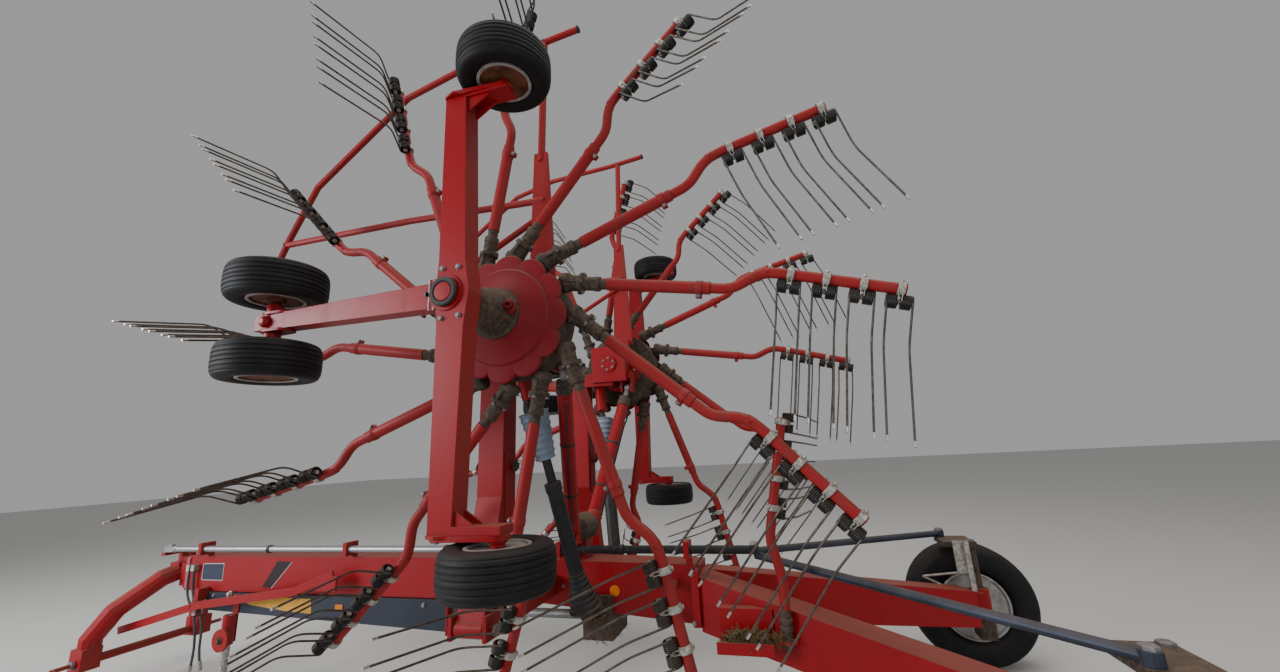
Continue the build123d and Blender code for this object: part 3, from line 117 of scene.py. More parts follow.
def add_piece(name, skins, body, finish, smooth_below=35.0, replaces=None):
    """One object from several skins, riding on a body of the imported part, and in place of one of its solids where
    that is named. Edges sharper than the angle stay crisp."""
    points, faces, start = [], [], 0
    for skin_points, skin_faces in skins:
        points.append(skin_points)
        faces += [[i + start for i in face] for face in skin_faces]
        start += len(skin_points)
    mesh = bpy.data.meshes.new(name)
    mesh.from_pydata(np.concatenate(points), [], faces)
    mesh.update()
    mesh.shade_smooth()
    mesh.set_sharp_from_angle(angle=math.radians(smooth_below))
    piece = bpy.data.objects.new(name, mesh)
    bpy.context.scene.collection.objects.link(piece)
    mesh.materials.append(finish.material)
    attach(piece, body)
    if replaces:
        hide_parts(replaces)
    print(name, "has", len(mesh.polygons), "faces")


# %% [markdown]
# ## Finishes
# Paint, rust and dust are the same recipe with other numbers: a ground colour with coats over it, each coat let
# through by a mask. A mask is a number between 0 and 1 at every point of the surface.
# Writing masks as sums and products is clearer than wiring nodes by hand, so a small class turns Python's own
# signs into nodes.


# %% Signals, or what changes over a surface
class Signal:
    """One output of a node. Sums and products of signals and numbers add the nodes that work them out."""

    def __init__(self, finish, socket):
        self.finish, self.socket = finish, socket

    def maths(self, operation, first, second):
        return self.finish.node("ShaderNodeMath", {"operation": operation}, {0: first, 1: second})

    def __add__(self, other):
        return self.maths("ADD", self, other)

    def __radd__(self, other):
        return self.maths("ADD", other, self)

    def __sub__(self, other):
        return self.maths("SUBTRACT", self, other)

    def __rsub__(self, other):
        return self.maths("SUBTRACT", other, self)

    def __mul__(self, other):
        return self.maths("MULTIPLY", self, other)

    def __rmul__(self, other):
        return self.maths("MULTIPLY", other, self)

    def between(self, low, high):
        """0 below low, 1 above high, and a smooth step between them."""
        return self.finish.node(
            "ShaderNodeMapRange",
            {"interpolation_type": "SMOOTHSTEP"},
            {"Value": self, "From Min": low, "From Max": high},
        )


print("signals can be added, subtracted and multiplied")


# %% A material and its coats
class Finish:
    """A material built from a ground colour and coats. Colours are linear red, green, blue."""

    def __init__(self, name, colour, roughness, metallic=0.0, coat=0.0, specular=0.5):
        self.material = bpy.data.materials.new(name)
        self.material.use_nodes = True
        self.tree = self.material.node_tree
        self.shader = self.tree.nodes["Principled BSDF"]
        self.colour, self.roughness, self.metallic, self.height = colour, roughness, metallic, None
        self.shader.inputs["Coat Weight"].default_value = coat
        self.shader.inputs["Coat Roughness"].default_value = 0.25
        self.shader.inputs["Specular IOR Level"].default_value = specular

    def node(self, kind, settings, values, output=0):
        """Any node: its settings come first, then the values or links of its sockets, and one output comes back."""
        made = self.tree.nodes.new(kind)
        for key, value in settings.items():
            setattr(made, key, value)
        for key, value in values.items():
            if isinstance(value, Signal):
                self.tree.links.new(value.socket, made.inputs[key])
            elif isinstance(value, tuple) and len(value) == 3 and made.inputs[key].type == "RGBA":
                made.inputs[key].default_value = (*value, 1.0)
            else:
                made.inputs[key].default_value = value
        return Signal(self, made.outputs[output])

    def place(self, stretch=(1.0, 1.0, 1.0)):
        """The point's own place on the object, in metres, stretched along each axis."""
        here = self.node("ShaderNodeTexCoord", {}, {}, "Object")
        return self.node("ShaderNodeVectorMath", {"operation": "MULTIPLY"}, {0: here, 1: stretch})

    def facing(self, axis):
        """How much the surface faces along an axis, from -1 to 1."""
        normal = self.node("ShaderNodeTexCoord", {}, {}, "Normal")
        return self.node("ShaderNodeVectorMath", {"operation": "DOT_PRODUCT"}, {0: normal, 1: axis}, "Value")

    def clouds(self, size, detail=4.0, sharpness=0.55, stretch=(1.0, 1.0, 1.0)):
        """Noise from 0 to 1 in patches about size metres across."""
        values = {"Vector": self.place(stretch), "Scale": 1.0 / size, "Detail": detail, "Roughness": sharpness}
        return self.node("ShaderNodeTexNoise", {}, values, "Fac")

    def mix(self, share, first, second):
        """A colour between two others."""
        return self.node("ShaderNodeMix", {"data_type": "RGBA"}, {0: share, 6: first, 7: second}, 2)

    def coat_over(self, mask, colour, roughness, metallic=0.0):
        """Lays a coat over what is there, let through by its mask."""
        self.colour = self.mix(mask, self.colour, colour)
        self.roughness = self.roughness + mask * (roughness - self.roughness)
        if not (isinstance(self.metallic, float) and self.metallic == metallic):
            self.metallic = self.metallic + mask * (metallic - self.metallic)
        return self

    def raise_by(self, height):
        """Adds to the relief, in metres."""
        self.height = height if self.height is None else self.height + height
        return self

    def finished(self, soft_edge=0.0):
        """Connects what was gathered to the shader. soft_edge rounds the look of sharp edges, in metres."""
        gathered = {"Base Color": self.colour, "Roughness": self.roughness, "Metallic": self.metallic}
        for name, value in gathered.items():
            if isinstance(value, Signal):
                self.tree.links.new(value.socket, self.shader.inputs[name])
            else:
                self.shader.inputs[name].default_value = (*value, 1.0) if name == "Base Color" else value
        normal = None
        if soft_edge:
            normal = self.node("ShaderNodeBevel", {"samples": 4}, {"Radius": soft_edge})
        if self.height is not None:
            values = {"Height": self.height, "Distance": 1.0}
            if normal is not None:
                values["Normal"] = normal
            normal = self.node("ShaderNodeBump", {}, values)
        if normal is not None:
            self.tree.links.new(normal.socket, self.shader.inputs["Normal"])
        return self


print("finishes are ready to mix")


# %% [markdown]
# ## Studio
# The machine is shown on a plain pale floor with soft light, so that nothing but its own colours is seen.
# In the picture the daylight comes in low from the tractor's end and down through a pale roof, so one wide lamp
# stands in front on the left and one hangs above. A weak lamp behind and the pale sky fill the shadows.

# %% Floor and lamps
FLOOR_REACH = 40.0
floor_mesh = bpy.data.meshes.new("floor")
floor_corners = [(x * FLOOR_REACH, y * FLOOR_REACH, 0.0) for x, y in ((-1, -1), (1, -1), (1, 1), (-1, 1))]
floor_mesh.from_pydata(floor_corners, [], [(0, 1, 2, 3)])
floor = bpy.data.objects.new("floor", floor_mesh)
bpy.context.scene.collection.objects.link(floor)
floor_finish = Finish("floor", (0.56, 0.55, 0.53), 0.85)
floor_mesh.materials.append(floor_finish.finished().material)

LAMPS = (
    # name, place, aims at, width, height, watts, colour
    ("daylight", (7.5, 6.5, 3.6), (0.0, 0.8, 1.6), 5.0, 3.5, 980.0, (0.92, 0.96, 1.0)),
    ("roof_light", (-1.5, 1.0, 8.5), (-0.8, 0.0, 1.5), 9.0, 7.0, 460.0, (1.0, 0.97, 0.90)),
    ("fill", (-6.5, 5.5, 3.0), (-0.5, 0.5, 1.5), 4.0, 3.0, 120.0, (1.0, 0.98, 0.95)),
)
for name, place, aim, width, height, watts, colour in LAMPS:
    lamp = bpy.data.lights.new(name, "AREA")
    lamp.shape, lamp.size, lamp.size_y, lamp.energy, lamp.color = "RECTANGLE", width, height, watts, colour
    hung = bpy.data.objects.new(name, lamp)
    towards = unit(np.subtract(aim, place))
    side = unit(np.cross(towards, (0, 0, 1)))
    over = np.cross(side, towards)
    aimed = Matrix((side, over, -towards)).transposed().to_4x4()
    hung.matrix_world = Matrix.Translation(place) @ aimed
    bpy.context.scene.collection.objects.link(hung)

sky = bpy.data.worlds.new("sky")
bpy.context.scene.world = sky
sky.use_nodes = True
background = sky.node_tree.nodes["Background"]
background.inputs["Color"].default_value = (0.82, 0.82, 0.82, 1.0)
background.inputs["Strength"].default_value = 0.44
print(len(LAMPS), "lamps round a floor of", 2 * FLOOR_REACH, "m")

# %% [markdown]
# ## Red paint and what time did to it
# The frame is bright red and was painted before it was assembled. Dust lies on whatever faces up, dirt gathers in
# patches, and the sun has bleached the tubes of the rotors to a paler, more orange red.
# One function makes all the reds, with the amount of bleaching, dust and wear as its numbers. The dust number also
# sets a painted shade: a dusty brown on the faces turned rearward, away from the main lamp.

# %% Red paints
RED = (0.27, 0.004, 0.009)
DEEP_RED = (0.17, 0.006, 0.012)
BLEACHED = (0.26, 0.014, 0.016)
DUST = (0.21, 0.135, 0.090)
# the next colour is painted shade: a dusty brown laid on the faces turned rearward, away from the main lamp
REAR_SHADE_BROWN = (0.095, 0.052, 0.036)
GRIME = (0.060, 0.044, 0.034)
RUST = (0.16, 0.055, 0.022)
# the second direction is the way the painted shade faces: rearward and a little up
UPWARD, SHADED_SIDE_FACING = (0.0, 0.0, 1.0), (-0.94, 0.0, 0.34)


def red_paint(name, colour=RED, bleach=0.3, dust=0.5, grime=0.2, wear=0.2, gloss=0.38):
    """Coats over paint, from below: bleached patches, streaks of grime, chips down to rust, dust, and painted shade
    on rearward faces.
    """
    paint = Finish(name, colour, gloss, coat=0.04, specular=0.18)
    broad = paint.clouds(0.55, 3.0)
    fine = paint.clouds(0.035, 6.0, 0.62)
    streaks = paint.clouds(0.10, 5.0, 0.6, stretch=(1.0, 1.0, 0.25))
    paint.coat_over(broad.between(0.35, 0.75) * bleach, BLEACHED, gloss + 0.18)
    paint.coat_over(streaks.between(0.50, 0.78) * grime, GRIME, 0.8)
    chips = (fine.between(0.66, 0.70) * broad.between(0.45, 0.62)) * wear
    paint.coat_over(chips, RUST, 0.85)
    upward = paint.facing(UPWARD).between(0.25, 0.9)
    lying = (upward * 0.85 + fine.between(0.45, 0.75) * 0.18 + broad.between(0.5, 0.8) * 0.12) * dust
    paint.coat_over(lying.between(0.0, 1.0), DUST, 0.9)
    # painted shade: faces turned rearward, away from the main lamp, are darkened to a dusty brown, scaled by the dust
    # share
    behind = paint.facing(SHADED_SIDE_FACING).between(0.55, 0.95)
    painted_shade = behind * (0.55 + fine.between(0.35, 0.7) * 0.35)
    paint.coat_over(painted_shade * dust, REAR_SHADE_BROWN, 0.9)
    paint.raise_by(fine * 0.0004 - chips * 0.0004)
    return paint.finished(soft_edge=0.004)


frame_red = red_paint("frame_red")
arm_red = red_paint("arm_red", BLEACHED, bleach=0.5, dust=0.45, grime=0.5, wear=0.5, gloss=0.5)
hub_red = red_paint("hub_red", DEEP_RED, bleach=0.15, dust=0.55, grime=0.75, wear=0.3, gloss=0.55)
print("three red paints")

# %% [markdown]
# ## The other finishes
# Castings near the rotor's bearings are black with grease and chaff. Tyres are rubber gone grey where dust sits on
# their ribs. Clamps are zinc plated, the tines are bare spring steel, and guards are black plastic.

# %% Metal, rubber and plastic
def plain_finish(name, colour, roughness, metallic=0.0, dust=0.5, patch=0.04, spread=0.25, relief=0.0003):
    """A worn surface: the share called spread varies its colour in small patches, and dust lies where it faces up."""
    made = Finish(name, colour, roughness, metallic, specular=0.22)
    small = made.clouds(patch, 6.0, 0.6)
    large = made.clouds(patch * 9, 4.0)
    darker = tuple(c * (1 - spread) for c in colour)
    lighter = tuple(min(c * (1 + spread), 1.0) for c in colour)
    made.colour = made.mix(small.between(0.3, 0.7), darker, lighter)
    upward = made.facing(UPWARD).between(0.1, 0.9)
    made.coat_over((upward * 0.7 + large.between(0.45, 0.8) * 0.35) * dust, DUST, 0.92)
    made.raise_by(small * relief)
    return made.finished(soft_edge=0.003)


casting = plain_finish("greasy_casting", GRIME, 0.72, 0.0, dust=0.45, patch=0.02, spread=0.5, relief=0.0015)
rubber = plain_finish("tyre_rubber", (0.0075, 0.0075, 0.0090), 0.62, dust=0.10, patch=0.03)
zinc = plain_finish("zinc_plate", (0.36, 0.35, 0.32), 0.5, 0.75, dust=0.5, patch=0.015, spread=0.4)
tine_steel = plain_finish("spring_steel", (0.085, 0.072, 0.062), 0.42, 0.7, dust=0.35, patch=0.03, spread=0.4)
coil_steel = plain_finish("coil_steel", (0.020, 0.019, 0.019), 0.45, 0.3, dust=0.25, patch=0.02)
black_plastic = plain_finish("black_plastic", (0.022, 0.022, 0.024), 0.5, dust=0.35, patch=0.05)
panel_plastic = plain_finish("dark_panel", (0.024, 0.029, 0.044), 0.42, dust=0.25, patch=0.4, spread=0.15)
grey_steel = plain_finish("grey_steel", (0.20, 0.20, 0.21), 0.45, 0.6, dust=0.6, patch=0.06, spread=0.3)
worn_steel = plain_finish("worn_steel", (0.52, 0.50, 0.47), 0.32, 0.9, dust=0.1, patch=0.01)
rim_rust = plain_finish("rusty_rim", (0.115, 0.042, 0.022), 0.75, dust=0.45, patch=0.05, spread=0.5)
rim_grey = plain_finish("grey_rim", (0.30, 0.29, 0.28), 0.5, 0.2, dust=0.6, patch=0.05, spread=0.3)
bellows_grey = plain_finish("bellows_grey", (0.17, 0.225, 0.30), 0.42, dust=0.35, patch=0.08, spread=0.2)
hose_rubber = plain_finish("hose_rubber", (0.045, 0.050, 0.056), 0.45, dust=0.25, patch=0.03)
tie_blue = plain_finish("tie_rod_grey", (0.034, 0.042, 0.062), 0.45, 0.2, dust=0.30, patch=0.08, spread=0.25)
plate_grey = plain_finish("grey_blue_plate", (0.028, 0.036, 0.062), 0.40, dust=0.15, patch=0.05, spread=0.15)
plate_dark = plain_finish("dark_plate", (0.020, 0.008, 0.012), 0.40, dust=0.10, patch=0.05, spread=0.15)
plate_pale = plain_finish("pale_edge", (0.42, 0.36, 0.37), 0.45, dust=0.15, patch=0.03, spread=0.15)
plate_yellow = plain_finish("yellow_plate", (0.52, 0.27, 0.030), 0.45, dust=0.20, patch=0.10, spread=0.15)
amber = plain_finish("amber_reflector", (0.62, 0.16, 0.012), 0.22, dust=0.10, patch=0.01, spread=0.15)
pink_red = plain_finish("faded_end_red", (0.42, 0.105, 0.130), 0.45, dust=0.30, patch=0.10, spread=0.15)
hay = plain_finish("hay", (0.19, 0.125, 0.062), 0.85, dust=0.0, patch=0.02, spread=0.45)
rod_steel = Finish("rod_steel", (0.012, 0.012, 0.013), 0.5, specular=0.25)
along_rod = rod_steel.node("ShaderNodeSeparateXYZ", {}, {0: rod_steel.place()}, "X")
rod_steel.coat_over(along_rod.between(0.05, 0.30), (0.30, 0.29, 0.31), 0.38, 0.7)
rod_steel.coat_over(rod_steel.clouds(0.03, 5.0).between(0.55, 0.75) * 0.35, DUST, 0.9)
rod_steel.finished()
print("the other finishes are mixed")

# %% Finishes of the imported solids
FINISH_OF = {
    # every other solid has the frame's red
    "underslung_panel": panel_plastic, "input_drive": grey_steel, "centre_gearbox": casting, "lamp_bracket": zinc,
    "stand_leg": zinc, "steering_rod": rod_steel, "tie_rod": tie_blue, "steering_knuckle": casting,
    "road_wheel": rubber, "tine_arm_bearings": casting, "tine_arms": arm_red, "upper_rotor_wheel": rubber,
    "lower_rotor_wheel": rubber, "front_rotor_wheels": rubber, "rotor_guard": arm_red, "hose_glands": zinc,
    "drive_shaft_outer": black_plastic, "drive_shaft_inner": black_plastic, "fold_cylinder_rod": grey_steel,
    "front_hose": hose_rubber, "front_hose_coupling": zinc, "hanging_hose": hose_rubber,
    "hanging_hose_coupling": zinc,
}
for name, node in nodes.items():
    kind = name.removesuffix("_left").removesuffix("_right")
    node.data.materials.clear()
    node.data.materials.append(FINISH_OF.get(kind, frame_red).material)
print("finishes on", len(nodes), "solids")

# %% [markdown]
# ## Two hoses at the front
# The oil hoses that a tractor plugs in hang down here: each leaves a gland on the beam's side, goes through the clip
# on the lug and hangs by its own weight, with a coupling on its end. A hose is one smooth line, so it is a NURBS
# spline with a few control points, and the spline does the bending.

# %% Hoses
HOSES = (
    # name, length, points
    ("front_hose", 0.67, (
        (2.633, 0.122, 0.790), (2.633, 0.122, 0.712), (2.605, 0.133, 0.628), (2.539, 0.146, 0.566),
        (2.475, 0.158, 0.514), (2.439, 0.160, 0.440), (2.427, 0.157, 0.352), (2.415, 0.160, 0.262),
        (2.419, 0.164, 0.186),
    )),
    ("hanging_hose", 0.635, (
        (2.583, 0.122, 0.790), (2.583, 0.122, 0.716), (2.557, 0.128, 0.640), (2.513, 0.134, 0.572),
        (2.456, 0.136, 0.520), (2.409, 0.138, 0.452), (2.389, 0.144, 0.368), (2.387, 0.146, 0.280),
        (2.371, 0.143, 0.208),
    )),
)
HOSE_RADIUS = 0.008
for name, length, points in HOSES:
    curve = bpy.data.curves.new(name, "CURVE")
    curve.dimensions, curve.bevel_depth, curve.bevel_resolution, curve.resolution_u = "3D", HOSE_RADIUS, 3, 8
    curve.use_fill_caps = True
    spline = curve.splines.new("NURBS")
    spline.points.add(len(points) - 1)
    spline.points.foreach_set("co", np.c_[points, np.ones(len(points))].ravel())
    spline.use_endpoint_u = True
    spline.order_u = 3
    piece = bpy.data.objects.new(name + "_line", curve)
    bpy.context.scene.collection.objects.link(piece)
    curve.materials.append(hose_rubber.material)
    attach(piece, "frame")
    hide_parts(name)
    print(name, length, "m long")


# %% [markdown]
# ## Lines with thickness
# Most of this machine is tube, rod or wire. Each one is a line of points, rounded where it bends, with a ring of
# points set square to it at every place. A turned piece is the same thing on a straight line, with its own radius at
# each place, which gives collars, bolts, hubs and rims.


# %% Rounded lines and tubes
def rounded(corners, reach, steps=6):
    """A line along straight runs with its corners rounded: each corner becomes the curve
    (1-t)^2 a + 2t(1-t) corner + t^2 b, where a and b lie reach metres before and after it."""
    corners = np.asarray(corners, float)
    t = np.linspace(0, 1, steps)[:, None]
    pieces = [corners[..., :1, :]]
    for place in range(1, corners.shape[-2] - 1):
        corner = corners[..., place : place + 1, :]
        before = corner + unit(corners[..., place - 1 : place, :] - corner) * reach
        after = corner + unit(corners[..., place + 1 : place + 2, :] - corner) * reach
        pieces.append((1 - t) ** 2 * before + 2 * t * (1 - t) * corner + t**2 * after)
    return np.concatenate(pieces + [corners[..., -1:, :]], axis=-2)


def ring_round(axis, helper, sides):
    """Points of a unit circle square to an axis: cos a side + sin a over."""
    side = unit(np.cross(axis, helper))
    over = np.cross(axis, side)
    angle = all_round(sides)[:, None]
    return np.cos(angle) * side[..., None, :] + np.sin(angle) * over[..., None, :]


def tube(line, radius, hint, sides=10):
    """A tube along a line: line + radius (cos a side + sin a over). No stretch of the line runs along hint."""
    line = np.asarray(line, float)
    ahead = unit(np.gradient(line, axis=-2))
    return skin(line[..., None, :] + radius * ring_round(ahead, hint, sides))


print("lines can be rounded and made tubes")


# %% Turned pieces, plates and bolts
def turned(profile, base, axis, sides=16, ring=False):
    """A turned piece: its profile is pairs of radius and distance along the axis from its base."""
    radius, along = np.asarray(profile, float).T
    base, axis = np.asarray(base, float), unit(axis)
    helper = np.where(np.abs(axis[..., 2:]) < 0.9, (0.0, 0.0, -1.0), (-1.0, 0.0, 0.0))
    circle = ring_round(axis, helper, sides)
    centre = base[..., None, :] + along[:, None] * axis[..., None, :]
    return skin(centre[..., None, :] + radius[:, None, None] * circle[..., None, :, :], ring)


def slab(centre, across, along, up):
    """A plate given by its centre and three half edges, in right-handed order."""
    corners = [-across - along, across - along, across + along, along - across]
    return skin(np.stack([np.stack([centre + c + sign * up for c in corners], -2) for sign in (-1, 1)], -3))


def bolt(base, axis, size=0.008, height=0.007):
    """A hexagon head on a washer."""
    washer = ((size * 1.25, 0.0), (size * 1.25, height * 0.25))
    head = ((size, 0.0), (size, height), (size * 0.8, height * 1.12))
    return [turned(washer, base, axis, 12), turned(head, base, axis, 6)]


def ring_of_bolts(centre, axis, radius, count, size=0.009, start=0.0):
    """Bolt heads round a circle."""
    axis = unit(axis)
    side = unit(np.cross((0.31, 0.52, 0.79), axis))
    over = np.cross(axis, side)
    found = []
    for angle in start + all_round(count):
        found += bolt(centre + radius * (math.cos(angle) * side + math.sin(angle) * over), axis, size, size)
    return found


print("profiles can be turned")


# %% The other side
def mirrored(skins):
    """The same skins for the machine's right side: y changes sign and each face runs the other way round."""
    return [(points * (1, -1, 1), [face[::-1] for face in faces]) for points, faces in skins]


def add_pair(name, skins, body, finish, smooth_below=35.0, replaces=None):
    """A piece on the left and its mirror image on the right, in place of that side's solid where one is named."""
    for side, side_skins in (("_left", skins), ("_right", mirrored(skins))):
        add_piece(name + side, side_skins, body + side, finish, smooth_below, replaces and replaces + side)


print("skins can be mirrored to the right side")

# %% [markdown]
# ## Rotor arms
# Twelve arms sit in the cam drum, not on spokes but a little beside them, so that each can turn in its bearing. An
# arm is a wide tube out of the bearing, with a thinner one clamped into its end that bends back to its radius and
# carries the tines. Arms could be modelled one by one, but they are one shape turned by 30 degrees, so a table of
# places along and beside the radius makes all twelve at once.

# %% Places on the arms
hub_low, hub_high = np.array(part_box("rotor_hub_left"))
AXIS_X, AXIS_Z = (hub_low[0] + hub_high[0]) / 2, (hub_low[2] + hub_high[2]) / 2
ROTOR_Y = 0.9
ARM_COUNT, ARM_BEND_REACH = 12, 0.045
FIRST_ARM = math.radians(56.9)
ARM_ANGLES = FIRST_ARM - all_round(ARM_COUNT)
FORWARD, OUTWARD, UP = np.eye(3)
REARWARD = -FORWARD

ROOT, ROOT_END = (0.400, 0.158), (0.500, 0.145)
WIDE_END, THIN_START = (0.985, 0.0823), (0.960, 0.0855)
BEND_ONE, BEND_TWO, BEND_THREE, TIP = (1.080, 0.070), (1.200, 0.130), (1.260, 0.128), (1.765, 0.005)
ROOT_RADIUS, WIDE_RADIUS, THIN_RADIUS = 0.0255, 0.029, 0.0235


def spot(x, y, z):
    """A place measured from the plane of the rotors' axes."""
    return np.array((AXIS_X + x, y, z))


def on_arms(place, y=ROTOR_Y):
    """One place on each of the arms, from its distance along the tip's radius and beside it."""
    along, beside = place
    across = along * np.cos(ARM_ANGLES) - beside * np.sin(ARM_ANGLES)
    up = along * np.sin(ARM_ANGLES) + beside * np.cos(ARM_ANGLES)
    return np.stack([AXIS_X - across, np.full(ARM_COUNT, y), AXIS_Z + up], -1)


def lines_of(*places):
    """A line through several places, on each of the arms."""
    return np.stack([on_arms(place) for place in places], -2)


print("arms at", np.degrees(ARM_ANGLES).round(1).tolist(), "degrees")

# %% Arms and their collars
root_line = lines_of(ROOT, ROOT_END)
wide_line = lines_of(ROOT_END, WIDE_END)
thin_line = rounded(lines_of(THIN_START, BEND_ONE, BEND_TWO, BEND_THREE, TIP), ARM_BEND_REACH, 7)
arm_skins = [tube(wide_line, WIDE_RADIUS, OUTWARD, 20), tube(thin_line, THIN_RADIUS, OUTWARD, 16)]
inward = unit(wide_line[:, 0] - wide_line[:, 1])
collar = ((0.0325, 0.035), (0.0325, 0.060), (0.0300, 0.064))
arm_skins.append(turned(collar, wide_line[:, 1], inward, 20))
EAR_INWARD, EAR_ASIDE, EAR_APART, EAR_BOLT = 0.048, 0.036, 0.009, 0.040
ear_side = np.cross(OUTWARD, inward)
ear_place = wide_line[:, 1] + inward * EAR_INWARD
for offset in (-1, 1):
    ear = ear_place + ear_side * EAR_ASIDE + OUTWARD * EAR_APART * offset
    arm_skins.append(slab(ear, inward * 0.013, ear_side * 0.012, OUTWARD * 0.003))
add_pair("arm_tubes", arm_skins, "rotor", arm_red, replaces="tine_arms")
add_pair("collar_bolts", bolt(ear_place + ear_side * EAR_BOLT + OUTWARD * 0.012, OUTWARD), "rotor", grey_steel)
add_pair("arm_roots", [tube(root_line, ROOT_RADIUS, OUTWARD, 16)], "rotor", casting)

# %% [markdown]
# ## Spring tines
# A double tine is one length of spring wire: a coil each side of the clamp, and a long finger out of each coil. The
# finger leaves at a tangent and bends back by about 25 degrees. Real springs are wound, so these are too: a helix
# of five turns, which looks right from near and costs few faces, since the wire has only six sides.
# Each arm's tines have their own pitch about the arm, because a cam inside the drum turns them as the rotor goes
# round, up behind the machine and down in front of the crop.

# %% Measures and directions of the tines
PITCHES = np.radians((72, 96, 102, 98, 76, 42, 16, 13, 14, 20, 18, 42))
BEND, SPLAY = math.radians(25.0), math.radians(7.7)
CLAMP_STATIONS = (1.330, 1.470, 1.610, 1.745)
WIRE_RADIUS, COIL_RADIUS, COIL_DROP = 0.0046, 0.0265, 0.052
COIL_TURNS, TURN_STEPS = 5, 12
COIL_NEAR, COIL_FAR = 0.009, 0.047
UPPER_LENGTH, LOWER_LENGTH, KNEE_DROP = 0.165, 0.400, 0.060
BRIGHT_LENGTH, BRIGHT_SWELL = 0.022, 0.0004
CHEEK_DROP, CHEEK_APART, CORE_RADIUS, CORE_HALF = 0.030, 0.0075, 0.012, 0.050
STRAP = ((0.0285, -0.015), (0.0315, -0.013), (0.0315, 0.013), (0.0285, 0.015))
HEAD_DROP, NUT_DROP, FINGER_BEND_REACH = 0.044, 0.030, 0.045

tube_axis = unit(on_arms(TIP) - on_arms(BEND_THREE))
trail = np.cross(tube_axis, OUTWARD)
clockwise = np.stack([np.sin(ARM_ANGLES), np.zeros(ARM_COUNT), -np.cos(ARM_ANGLES)], -1) * (-1, 1, 1)
trail = trail * np.sign((trail * clockwise).sum(-1, keepdims=True))


def pitched(angle, direction):
    """A direction turned by each arm's pitch: down cos p + direction sin p, where down is away from the frame."""
    return OUTWARD * np.cos(angle)[:, None] + direction * np.sin(angle)[:, None]


splayed = trail * math.cos(SPLAY) + tube_axis * math.sin(SPLAY)
drop, back = pitched(PITCHES, trail), pitched(PITCHES + math.pi / 2, trail)
upper_run, lower_run = pitched(PITCHES, splayed), pitched(PITCHES - BEND, splayed)

print("pitches from", round(math.degrees(PITCHES.min())), "to", round(math.degrees(PITCHES.max())), "degrees")

# %% A double tine
COIL_END = -math.pi / 2
turn = np.linspace(COIL_END - COIL_TURNS * 2 * math.pi, COIL_END, COIL_TURNS * TURN_STEPS + 1)[:, None]
spread = np.linspace(COIL_NEAR, COIL_FAR, len(turn))[:, None]
TINE_KINDS = (
    # name of the kind, finish, smooth below
    ("coils", coil_steel, 35.0), ("fingers", tine_steel, 35.0), ("tips", worn_steel, 35.0),
    ("clamps", zinc, 25.0), ("bolts", zinc, 25.0),
)


def spring_tines(middle, axis, drop, back, upper_run, lower_run):
    """Double tines on tubes. A coil is c + r (cos t drop + sin t back) + s t axis, and its finger runs on."""
    coils, fingers, tips, clamps = [], [], [], []
    coil_middle = middle + drop * COIL_DROP
    for end in (-1, 1):
        circle = np.cos(turn) * drop[:, None] + np.sin(turn) * back[:, None]
        coil = coil_middle[:, None] + circle * COIL_RADIUS + spread * end * axis[:, None]
        knee = middle + drop * KNEE_DROP + axis * end * COIL_FAR + upper_run * UPPER_LENGTH
        tip = knee + lower_run * LOWER_LENGTH
        finger = rounded(np.stack([coil[:, -1], knee, tip], -2), FINGER_BEND_REACH, 6)
        coils.append(tube(coil, WIRE_RADIUS, axis[:, None], 6))
        fingers.append(tube(finger, WIRE_RADIUS, axis[:, None], 8))
        bright = np.stack([tip - lower_run * BRIGHT_LENGTH, tip + lower_run * 0.001], -2)
        tips.append(tube(bright, WIRE_RADIUS + BRIGHT_SWELL, axis[:, None], 8))
        cheek = middle + drop * CHEEK_DROP + axis * end * CHEEK_APART
        clamps.append(slab(cheek, back * 0.024, drop * 0.020, np.cross(back, drop) * 0.0015))
    clamps.append(turned(STRAP, middle, axis, 16))
    core = ((CORE_RADIUS, 0.0), (CORE_RADIUS, 2 * CORE_HALF))
    clamps.append(turned(core, coil_middle - axis * CORE_HALF, axis, 10))
    bolts = bolt(middle + drop * HEAD_DROP, drop, 0.0095, 0.008)
    bolts += bolt(middle - drop * NUT_DROP, -drop, 0.0085, 0.008)
    return coils, fingers, tips, clamps, bolts


def tines_at(middles, *directions):
    """The skins of the double tines at several places of an arm, gathered by kind."""
    return [sum(kind, []) for kind in zip(*(spring_tines(middle, *directions) for middle in middles))]


print("a coil has", COIL_TURNS, "turns of", TURN_STEPS, "steps")

# %% Tines of the rotors
share = (np.array(CLAMP_STATIONS) - BEND_THREE[0]) / (TIP[0] - BEND_THREE[0])
beside = BEND_THREE[1] + share * (TIP[1] - BEND_THREE[1])
rotor_tines = tines_at(map(on_arms, zip(CLAMP_STATIONS, beside)), tube_axis, drop, back, upper_run, lower_run)
for (kind, finish, smooth_below), skins in zip(TINE_KINDS, rotor_tines):
    add_pair("tine_" + kind, skins, "rotor", finish, smooth_below)

# %% [markdown]
# ## The spare tine arm in its holder
# One more tine arm stands upright in the holder beside the left fork arm. It is the same tube with the same bend and
# the same four double tines. Copying one of the rotor's arms and turning it would do as well, but the functions above
# take any line and any directions, so they make this one too, with one place in each array in place of twelve.

